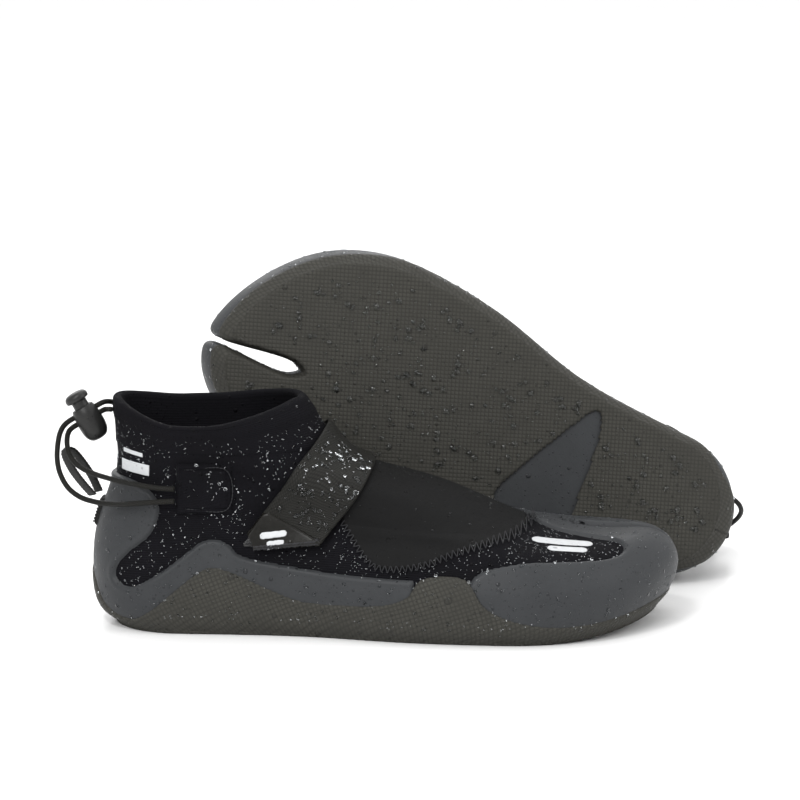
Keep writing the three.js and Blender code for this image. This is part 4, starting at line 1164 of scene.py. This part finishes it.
def surface_mark(name, side, shapes, height, other=2):
    """Flat prints on the form's lateral side: a fine lattice of the form, kept inside outlines drawn over x and
    one other direction (1 from above, 2 from the side), and lifted by a film's thickness."""
    parts = []
    for shape in shapes:
        lo, hi = shape.min(0) - 1, shape.max(0) + 1
        seen = FORM[:, :, other]
        region = (X > lo[0]) & (X < hi[0]) & (seen > lo[1]) & (seen < hi[1]) & (Y < camber(X) - 1)
        region &= OUT[:, :, 2] > (0.25 if other == 1 else -2)
        p, n = fine_patch(region)
        depth = depth_inside(p[:, :, 0], p[:, :, other], shape).ravel()
        depth[(n[:, :, 2].ravel() < 0.2) & (other == 1)] = -6
        lift = height * rise(depth, 0.3) - 0.25 * (depth <= 0)
        faces = grid_faces(p.shape[0], p.shape[1])
        faces = faces[(depth[faces] > -0.3).all(axis=1)]
        q = p.reshape(-1, 3) + n.reshape(-1, 3) * lift[:, None]
        parts.append(compact(q, faces, q[:, [0, 2]]))
    return walled(make_mesh(name, side, *joined(parts)), FILM)


def toe_mark(side):
    """The pale mark printed on the neoprene over the little toes."""
    obj = surface_mark("toe_mark", side, mark_shapes((219, -28), 21), 0.25, other=1)
    return dress(obj, "print", "neoprene", side + "_boot")


def heel_mark(side):
    """Two plain pale bars beside the heel, where a size would be printed."""
    bars = [np.array([(x0, z0), (x1, z0 - 1.2), (x1, z1 - 1.2), (x0, z1)], float)
            for x0, x1, z0, z1 in ((15.5, 29, 74, 79), (16.5, 26, 82.5, 84.4))]
    obj = surface_mark("heel_mark", side, bars, 0.25)
    return dress(obj, "print", "neoprene", side + "_boot")


def pads(side):
    """The two halves of the fastening under the tail, each a thin square of pile."""
    low = np.interp(X, [40, 70, 109, 140], [42, 42.5, 46, 48])
    depth = np.minimum(np.minimum(12.25 - np.abs(ACROSS_STRAP), 56 - Z), Z - low)
    depth = np.where(Y < 0, depth, -6)
    loop = skin("loop_pad_pile", side, depth, PANEL, 0.6, solid=0.6)
    dress(loop, "pile", "pile", side + "_boot", side + "_loop_pad")
    hook = skin("hook_pad_pile", side, depth, 2.1, 0.6, under_height=1.4, solid=0.5)
    dress(hook, "pile", "pile", side + "_strap", side + "_hook_pad")


def cord_pocket(side):
    """The pocket that keeps the cord's loose ends: a soft square with a rolled lip at its rear edge."""
    (x0, z0), (x1, z1) = POCKET
    depth = np.minimum(np.minimum(X - x0, x1 - X), np.minimum(Z - z0, z1 - Z))
    depth = np.where(Y < 0, depth, -6)
    lip = 0.9 * np.exp(-((X - x0 - 2.2) / 1.5) ** 2) - 1.1 * np.clip((X - 52) / 16, 0, 1)
    channel = -0.5 * np.exp(-((np.minimum(depth, 9) - 2.6) / 0.5) ** 2)
    obj = skin("cord_pocket_fabric", side, depth, 2.4, 1.6, extra=lip + channel, solid=1.8)
    return dress(obj, "neoprene", "neoprene", side + "_boot", side + "_cord_pocket")


def insole(side):
    """The foam footbed: a sheet inside the upper, its edge turned up, with the toe's spring."""
    outline = outline_at(np.searchsorted(ROWS, 1.2), -(NEOPRENE + 1.5))[::3]
    top = SOLE_UNDER + NEOPRENE + 2.8
    sheet = plan_grid(outline, 2.0, lambda x, y: top + toe_spring(x), 0.3, flip=False)
    obj = walled(make_mesh("insole_foam", side, *sheet), 2.4)
    return dress(obj, "foam", "foam", side + "_boot", side + "_insole")


def pull_tab(side):
    """The heel loop: a flat ribbed band with its section carried round the loop, its face turned outwards."""
    loop = catmull(TAB_LOOP, 26)
    path = np.stack([loop[:, 0], 0 * loop[:, 0], loop[:, 1]], axis=1)
    ahead = np.gradient(path, axis=0)
    ahead /= np.linalg.norm(ahead, axis=1, keepdims=True)
    out = np.cross(ahead, [0, 1, 0])
    half_thick = 0.62
    section = np.array([
        (TAB_HALF * math.copysign(abs(math.cos(a)) ** 0.3, math.cos(a)), half_thick * math.sin(a))
        for a in np.linspace(0, 2 * np.pi, 28, endpoint=False)
    ])
    run = np.concatenate([[0], np.cumsum(np.linalg.norm(np.diff(path, axis=0), axis=1))])
    ribs = 0.13 * np.cos((run[:, None] + 0.3 * section[None, :, 0]) * 2 * np.pi / 1.5)
    pts = (path[:, None] + section[None, :, 0, None] * np.array([0, 1.0, 0])
           + (section[None, :, 1] + ribs * np.sign(section[None, :, 1]))[:, :, None] * out[:, None])
    pts = pts @ np.array(Matrix.Rotation(TAB_TWIST, 3, Vector(TAB_AXIS))).T + TAB_PIVOT
    uv = np.stack(np.broadcast_arrays(run[:, None], section[None, :, 0]), axis=2)
    obj = carried("pull_tab_webbing", side, pts, uv)
    dress(obj, "webbing", "webbing", side + "_tab", side + "_pull_tab")
    # Its sewn end lies flat on the heel.
    root_low, root_top = 45, 57.5
    depth = np.minimum(np.minimum(TAB_HALF - np.abs(Y), root_top - Z), Z - root_low)
    depth = np.where(X < 40, depth, -6)
    root = skin("pull_tab_root", side, depth, 3.4, 0.6, under_height=1.0, solid=1.2)
    dress(root, "webbing", "webbing", side + "_boot", side + "_pull_tab_anchor")
    z = np.concatenate([np.arange(46.5, 56, 1.5)] * 2)
    y = np.repeat([-3.6, 3.6], len(z) // 2)
    p = np.stack([np.interp(z, [root_low, root_top], [0.2, 4.0]), y, z], axis=1)
    out = np.tile([-1.0, 0, 0.15], (len(z), 1))
    seam = stitches("pull_tab_stitches", side, p, p + [0.25, 0, 1.1], out / np.linalg.norm(out[0]), 0.28)
    return dress(seam, "thread", "webbing", side + "_boot")


def lock_turn():
    """The lock's own directions: along the cord, along the button's travel, and the third."""
    along = np.array([math.cos(LOCK_TILT), 0, math.sin(LOCK_TILT)])
    plunger = np.array([-math.sin(LOCK_TILT), 0, math.cos(LOCK_TILT)])
    return along, plunger, np.cross(along, plunger)


def turned(name, side, profile):
    """A turned form: a profile of (radius, height) carried once round the plunger's line."""
    steps = 56
    line = catmull(profile, 6)
    line[:, 0] = np.maximum(line[:, 0], 0.001)
    a = np.linspace(0, 2 * np.pi, steps, endpoint=False)
    along, plunger, third = lock_turn()
    ring = np.cos(a)[:, None] * along + np.sin(a)[:, None] * third
    points = line[:, 1, None, None] * plunger + line[:, 0, None, None] * ring[None] + np.array(LOCK_PLACE)
    uv = np.stack(np.broadcast_arrays(a[None, :] * 6, line[:, 1, None]), axis=2)
    faces = grid_faces(len(line), steps, wrap=True)[:, ::-1]
    return make_mesh(name, side, points.reshape(-1, 3), faces, uv.reshape(-1, 2), merge=2e-5)


def cord_lock(side):
    """The cord lock: a turned barrel with a rounded foot, and a capped button that stands out of it."""
    body = turned("cord_lock_barrel", side, [
        (0, -12.5), (3.4, -11.9), (5.3, -9.8), (6.1, -6.5), (6.2, -2), (6.0, 1.5), (5.3, 3.9), (4.9, 4.5),
        (4.1, 4.4), (4.0, 3.0), (4.0, -2.0), (3.9, -2.4), (0, -2.4),
    ])
    dress(body, "plastic", "plastic", side + "_lock", side + "_cord_lock_body")
    button = turned("cord_lock_cap", side, [
        (0, -3.2), (3.5, -3.2), (3.7, -3.0), (3.7, 4.0), (3.75, 7.6), (5.2, 8.1), (5.6, 9.0), (5.45, 10.4),
        (4.4, 11.6), (2.4, 12.15), (0, 12.2),
    ])
    dress(button, "plastic", "plastic", side + "_button", side + "_cord_lock_button")
    paint_node(side + "_cord_lock_spring", "steel")


def drawcord(side, name, points):
    """A free stretch of drawcord: a round bar along its route, from the collar's mouth to the pocket."""
    path = catmull(points, 10)
    obj = bar_along(name + "_cord", side, path, CORD_RADIUS, 12)
    dress(obj, "cord", "cord", side + "_boot", side + "_" + name)
    return obj


def seam_on(name, side, line, view_side, width, pitch, lift, radius=0.26):
    """Flatlock stitching: threads that zigzag between two lines on either side of a seam seen from the side."""
    length = np.linalg.norm(np.diff(line, axis=0), axis=1).sum()
    line = resample(catmull(line, 8), max(8, int(length / pitch)), True)
    along = np.gradient(line, axis=0)
    along /= np.linalg.norm(along, axis=1, keepdims=True)
    across = np.stack([-along[:, 1], along[:, 0]], axis=1)
    zig = np.where(np.arange(len(line)) % 2 == 0, 1, -1)[:, None] * width / 2
    ends = line + across * zig
    p, n = on_side(ends[:, 0], ends[:, 1], view_side)
    p = p + n * lift
    return stitches(name, side, p[:-1], p[1:], (n[:-1] + n[1:]) / 2, radius)


def seams(side):
    """The instep panel's flatlock seams, the rows round the pocket, and the row across the strap's end."""
    made = [seam_on("panel_seam_" + tag, side, PANEL_EDGE, view, 3.4, 1.3, 1.0)
            for view, tag in ((-1, "lateral"), (1, "medial"))]
    (x0, z0), (x1, z1) = POCKET
    box = [(x0 + 3, z0 + 2.6), (x1 - 2.6, z0 + 2.6), (x1 - 2.6, z1 - 2.6), (x0 + 3, z1 - 2.6)]
    made.append(seam_on("pocket_seam", side, box, -1, 0.1, 1.6, 1.9, 0.22))
    for obj in made:
        dress(obj, "thread", "neoprene", side + "_boot")
    row = strap_patch(np.array([(71, 40.3), (107, 43.5), (107, 44.1), (71, 40.9)]), TIP_OVER + 0.05, 0.25,
                      TIP_OVER - 0.4, 0.4)
    row = walled(make_mesh("strap_tip_seam", side, *row), FILM)
    dress(row, "thread", "moulded", side + "_strap")


def outer_height():
    """How far the boot's outermost layer stands off the form at each place of the grid, and -9 where the strap
    or nothing that can be wet is."""
    height = np.zeros(X.shape)
    height[depth_inside(X, Z, panel_outline()) > 0] = PANEL
    band = depth_inside(X, Z, under(RAND_LINE)) > 0
    height[(band & (X < RAND_END)) | (depth_inside(X, Y, cap_outline()) > 0)] = RUBBER
    height[above_sole() < 0] = SOLE_SIDE
    height[Z > RIM_HEIGHT - HEM_DEPTH] = HEM_OUT
    (x0, z0), (x1, z1) = POCKET
    height[(X > x0) & (X < x1) & (Z > z0) & (Z < z1) & (Y < 0)] = 2.2
    bare = (np.abs(ACROSS_STRAP) < 16.5) & (Z > strap_end(X) - 1.5)
    rim = RIM_HEIGHT - rim_drop(X, Y)
    bare |= (Z > rim - 3) | (ROWS[:, None] < 0.7) | ((X < 12) & (np.abs(Y) < 8))
    return np.where(bare, -9, height)


def domes(name, side, centre, out, radius, sides, rng, body, material="water"):
    """Water beads: flattened domes of a few rings and a top, each a little out of round and closed beneath."""
    count = len(centre)
    a = np.cross(out, rng.normal(size=(count, 3)))
    a /= np.linalg.norm(a, axis=1, keepdims=True)
    b = np.cross(out, a)
    turn = np.linspace(0, 2 * np.pi, sides, endpoint=False)
    wide = radius[:, None] * (1 + 0.14 * np.sin(2 * turn[None] + rng.uniform(0, 6.3, (count, 1))))
    rings = [(0.9, -0.25), (1.0, 0.08), (0.8, 0.36), (0.42, 0.54)]  # share of the radius, height over it
    if sides < 7:
        rings = [(1.0, -0.1), (0.75, 0.42)]
    points = [centre - 0.25 * radius[:, None] * out]
    ring = np.cos(turn)[None, :, None] * a[:, None] + np.sin(turn)[None, :, None] * b[:, None]
    for k, h in rings:
        points.append(centre[:, None] + ring * (wide * k)[:, :, None] + (out * radius[:, None] * h)[:, None])
    points.append(centre + 0.6 * radius[:, None] * out)
    each = 2 + len(rings) * sides
    stack = np.concatenate([points[0][:, None], *points[1:-1], points[-1][:, None]], axis=1).reshape(-1, 3)
    j = np.arange(sides)
    n = (j + 1) % sides
    pad = np.full(sides, -1)
    faces = [np.stack([1 + n, 1 + j, 0 * j, pad], axis=1)]
    for k in range(len(rings) - 1):
        low = 1 + k * sides
        faces.append(np.stack([low + j, low + n, low + sides + n, low + sides + j], axis=1))
    low = 1 + (len(rings) - 1) * sides
    faces.append(np.stack([low + j, low + n, np.full(sides, each - 1), pad], axis=1))
    faces = np.vstack(faces)
    faces = np.where(faces[None] < 0, -1, faces[None] + (np.arange(count) * each)[:, None, None]).reshape(-1, 4)
    obj = make_mesh(name, side, stack, faces, np.zeros((len(stack), 2)), merge=0)
    return dress(obj, material, "moulded", body)


def water(side):
    """Beads of water as after a rinse: scattered evenly by area, fine on the neoprene and larger on the rubber."""
    rng = np.random.default_rng(BEAD_SEEDS[side])
    height = outer_height()
    flow = np.linalg.norm(np.cross(np.gradient(FORM, axis=0), np.gradient(FORM, axis=1)), axis=2)
    weight = np.where(height > -5, flow, 0).ravel()
    pick = rng.choice(weight.size, BEADS_TRIED, p=weight / weight.sum())
    i, j = np.unravel_index(pick, X.shape)
    h = height[i, j]
    spread = rng.uniform(-0.5, 0.5, (len(i), 3))
    aside = spread - OUT[i, j] * (spread * OUT[i, j]).sum(1)[:, None]
    p = FORM[i, j] + OUT[i, j] * (h + 0.02)[:, None] + aside
    soft = h < 1.0
    u = rng.uniform(0, 1, len(i))
    radius = np.where(soft, 0.16 + 0.42 * u**3, 0.2 + 0.7 * u**4)
    share = np.where(soft, 0.75, np.where(h > 2, 0.3, 0.35))
    keep = rng.uniform(0, 1, len(i)) < np.where(h == PANEL, 0.12, share)
    p, n, radius, soft = p[keep], OUT[i, j][keep], radius[keep], soft[keep]
    large = radius >= LARGE_BEAD
    # The fine beads on the soft layers take the milky water, whose pale colour is a painted highlight.
    for name, some, sides, material in (
        ("fine_beads", soft & ~large, 6, "painted_glint_water"),
        ("small_beads", ~soft & ~large, 6, "water"),
        ("large_beads", large, 10, "water"),
    ):
        domes(name, side, p[some], n[some], radius[some], sides, rng, side + "_boot", material)
    across = np.linspace(-13.5, 13.5, 28)
    lines, outs = band_lines(across, lambda x: strap_end(x) + 2, lambda x: 0 * x + 60, 120)
    keep = lines[:, :, 1] < -7
    keep &= depth_inside(lines[:, :, 0], lines[:, :, 2], TIP_OUTLINE) < -1.5
    q, m = lines[keep], outs[keep]
    pick = rng.integers(0, len(q), STRAP_BEADS)
    radius = 0.3 + 1.1 * rng.uniform(0, 1, STRAP_BEADS) ** 2.4
    aside = rng.uniform(-0.4, 0.4, (STRAP_BEADS, 3)) * [1, 0, 1]
    p = q[pick] + m[pick] * (STRAP_OVER + 0.02) + aside
    domes("strap_beads", side, p, m[pick], radius, 10, rng, side + "_strap")
    if side == "left":
        outline = outline_at(0, -4)
        q = rng.uniform([8, -60], [268, 60], (SOLE_BEADS_TRIED, 2))
        clear = np.minimum(depth_inside(q[:, 0], q[:, 1], outline), -depth_inside(q[:, 0], q[:, 1], ARCH_WINDOW))
        q = q[clear > 2]
        radius = 0.3 + 1.5 * rng.uniform(0, 1, len(q)) ** 3.4
        p = np.column_stack([q, toe_spring(q[:, 0]) - 0.02])
        domes("sole_beads", side, p, np.tile([0.0, 0, -1], (len(q), 1)), radius, 9, rng, side + "_boot")


# ---- Settings -----------------------------------------------------------------------------------------
class BootColours(bpy.types.PropertyGroup):
    neoprene: FloatVectorProperty(name="Neoprene", description="Colour of the neoprene's outer face",
                                  subtype="COLOR", default=(0.0040, 0.0039, 0.0050), min=0, max=1)
    sole: FloatVectorProperty(name="Sole", description="Colour of the treaded sole rubber", subtype="COLOR",
                              default=(0.0345, 0.0335, 0.0290), min=0, max=1)
    rubber: FloatVectorProperty(name="Smooth rubber", description="Colour of the toe cap and the heel rand",
                                subtype="COLOR", default=(0.0265, 0.0280, 0.0300), min=0, max=1)
    strap: FloatVectorProperty(name="Strap", description="Colour of the instep strap", subtype="COLOR",
                               default=(0.0120, 0.0118, 0.0104), min=0, max=1)


class BootStage(bpy.types.PropertyGroup):
    distance: FloatProperty(name="Camera distance", description="From the camera to what it looks at",
                            default=1.7255, unit="LENGTH", min=0.5, max=5)
    lens: FloatProperty(name="Focal length", description="The camera's focal length, for a 36 mm sensor",
                        default=167.25, min=20, max=400)
    elevation: FloatProperty(name="Elevation", description="The camera's height above the horizon",
                             default=math.radians(9.62), subtype="ANGLE", min=0, max=1.5)
    azimuth: FloatProperty(name="Azimuth", description="The camera's turn round the boots",
                           default=math.radians(1.23), subtype="ANGLE", min=-3.2, max=3.2)


def both_boots(label, doc, name, make):
    """An operator that makes the same pieces for both boots."""
    def execute(self, context):
        for side in SIDES:
            make(side)
        return {"FINISHED"}
    return type("BOOTS_OT_" + name, (bpy.types.Operator,), {
        "bl_idname": "boots." + name, "bl_label": label, "__doc__": doc, "execute": execute,
    })


PIECES = [
    both_boots("Uppers", "The neoprene uppers", "uppers", upper),
    both_boots("Collars", "The folded hems round the ankles", "collars", collar),
    both_boots("Outsoles", "The treaded rubber soles", "outsoles", outsole),
    both_boots("Arch panels", "The smooth rubber under the arches", "arches", arch_panel),
    both_boots("Heel rands", "The grey rubber round the heels", "rands", heel_rand),
    both_boots("Toe caps", "The grey rubber over the toes", "caps", toe_cap),
    both_boots("Instep panels", "The stretch panels over the insteps", "panels", instep_panel),
    both_boots("Insoles", "The foam footbeds", "insoles", insole),
    both_boots("Straps", "The instep straps", "straps", strap),
    both_boots("Strap tips", "The moulded ends of the straps", "tips", strap_tip),
    both_boots("Tip marks", "The pale marks on the strap tips", "tip_marks", tip_mark),
    both_boots("Toe marks", "The pale marks over the toes", "toe_marks", toe_mark),
    both_boots("Heel marks", "The pale bars beside the heels", "heel_marks", heel_mark),
    both_boots("Fastening pads", "The pile under the strap tails", "pads", pads),
    both_boots("Cord pockets", "The pockets for the loose cord", "pockets", cord_pocket),
    both_boots("Pull tabs", "The ribbed heel loops with their sewn roots", "tabs", pull_tab),
    both_boots("Cord locks", "The barrels and buttons of the cord locks", "locks", cord_lock),
]
TRIM = [
    both_boots("Seams", "The stitching of panels, pockets and strap ends", "seams", seams),
    both_boots("Water", "The beads of water on both boots", "water", water),
]


class BOOTS_OT_cords(bpy.types.Operator):
    """The free stretches of drawcord, and the cord inside each collar"""
    bl_idname = "boots.cords"
    bl_label = "Drawcords"

    def execute(self, context):
        for side in SIDES:
            drawcord(side, "outer_strand", OUTER_STRAND)
            drawcord(side, "inner_strand", INNER_STRAND)
            paint_node(side + "_collar_cord", "cord")
        return {"FINISHED"}


LAMPS = (  # name, place and sizes in metres, power in watts
    ("key", (-0.8, -1.9, 1.3), (1.2, 0.9), 22),
    ("top", (0.2, 0.3, 1.8), (1.8, 1.2), 12),
    ("side", (1.6, -0.6, 0.9), (0.9, 0.9), 8),
    ("back", (-0.4, 1.9, 1.2), (1.6, 0.8), 12),
    ("glint", (-0.5, -1.1, 1.7), (0.3, 0.3), 12),
)
LAMP_AIM = Vector((0, 0, 0.08))
CAMERA_AIM = Vector((143.76 * MM + RIGHT_PLACE[0] * MM, RIGHT_PLACE[1] * MM, 0.10424))
FLOOR_CORNERS = [(-4, -3, 0), (4, -3, 0), (4, 5, 0), (-4, 5, 0)]
FLOOR_TONE = (0.97, 0.97, 0.97, 1)


class BOOTS_OT_stage(bpy.types.Operator):
    """A plain pale floor, soft studio light and the camera"""
    bl_idname = "boots.stage"
    bl_label = "Stage"

    def execute(self, context):
        scene = context.scene
        s = scene.boot_stage
        floor_mesh = bpy.data.meshes.new("floor")
        floor_mesh.from_pydata(FLOOR_CORNERS, [], [(0, 1, 2, 3)])
        floor = bpy.data.objects.new("floor", floor_mesh)
        scene.collection.objects.link(floor)
        m = bpy.data.materials.new("pale_floor")
        m.use_nodes = True
        b = m.node_tree.nodes["Principled BSDF"]
        b.inputs["Base Color"].default_value = FLOOR_TONE
        b.inputs["Roughness"].default_value = 0.2
        b.inputs["Specular IOR Level"].default_value = 0.35
        floor_mesh.materials.append(m)
        world = bpy.data.worlds.new("studio")
        world.use_nodes = True
        sky = world.node_tree.nodes["Background"]
        sky.inputs["Color"].default_value, sky.inputs["Strength"].default_value = (1, 1, 1, 1), 1.0
        scene.world = world
        for name, place, size, power in LAMPS:
            light = bpy.data.lights.new(name, "AREA")
            light.shape, light.size, light.size_y, light.energy = "RECTANGLE", size[0], size[1], power
            lamp = bpy.data.objects.new(name, light)
            lamp.location = place
            lamp.rotation_euler = (LAMP_AIM - Vector(place)).to_track_quat("-Z", "Y").to_euler()
            scene.collection.objects.link(lamp)
        camera = bpy.data.cameras.new("camera")
        camera.lens, camera.sensor_width, camera.clip_start = s.lens, 36, 0.05
        eye = bpy.data.objects.new("camera", camera)
        away = Vector((math.sin(s.azimuth) * math.cos(s.elevation), -math.cos(s.azimuth) * math.cos(s.elevation),
                       math.sin(s.elevation)))
        eye.location = CAMERA_AIM + away * s.distance
        eye.rotation_euler = away.to_track_quat("Z", "Y").to_euler()
        scene.collection.objects.link(eye)
        scene.camera = eye
        scene.view_settings.view_transform = "Standard"
        return {"FINISHED"}


class BOOTS_PT_sidebar(bpy.types.Panel):
    """The boots' settings and pieces"""
    bl_label = "Split-toe boots"
    bl_idname = "BOOTS_PT_sidebar"
    bl_space_type = "VIEW_3D"
    bl_region_type = "UI"
    bl_category = "Boots"

    def draw(self, context):
        for group_of in (context.scene.boot_colours, context.scene.boot_stage):
            for key in group_of.__annotations__:
                self.layout.prop(group_of, key)
        for operator in ORDER:
            self.layout.operator(operator.bl_idname)


ORDER = [BOOTS_OT_stage, *PIECES, BOOTS_OT_cords, *TRIM]
CLASSES = [BootColours, BootStage, *ORDER, BOOTS_PT_sidebar]


def register():
    for c in CLASSES:
        bpy.utils.register_class(c)
    bpy.types.Scene.boot_colours = PointerProperty(type=BootColours)
    bpy.types.Scene.boot_stage = PointerProperty(type=BootStage)


def unregister():
    del bpy.types.Scene.boot_colours, bpy.types.Scene.boot_stage
    for c in reversed(CLASSES):
        bpy.utils.unregister_class(c)


def main():
    register()
    for operator in ORDER:
        getattr(bpy.ops.boots, operator.bl_idname.split(".")[1])()


if __name__ == "__main__":
    main()
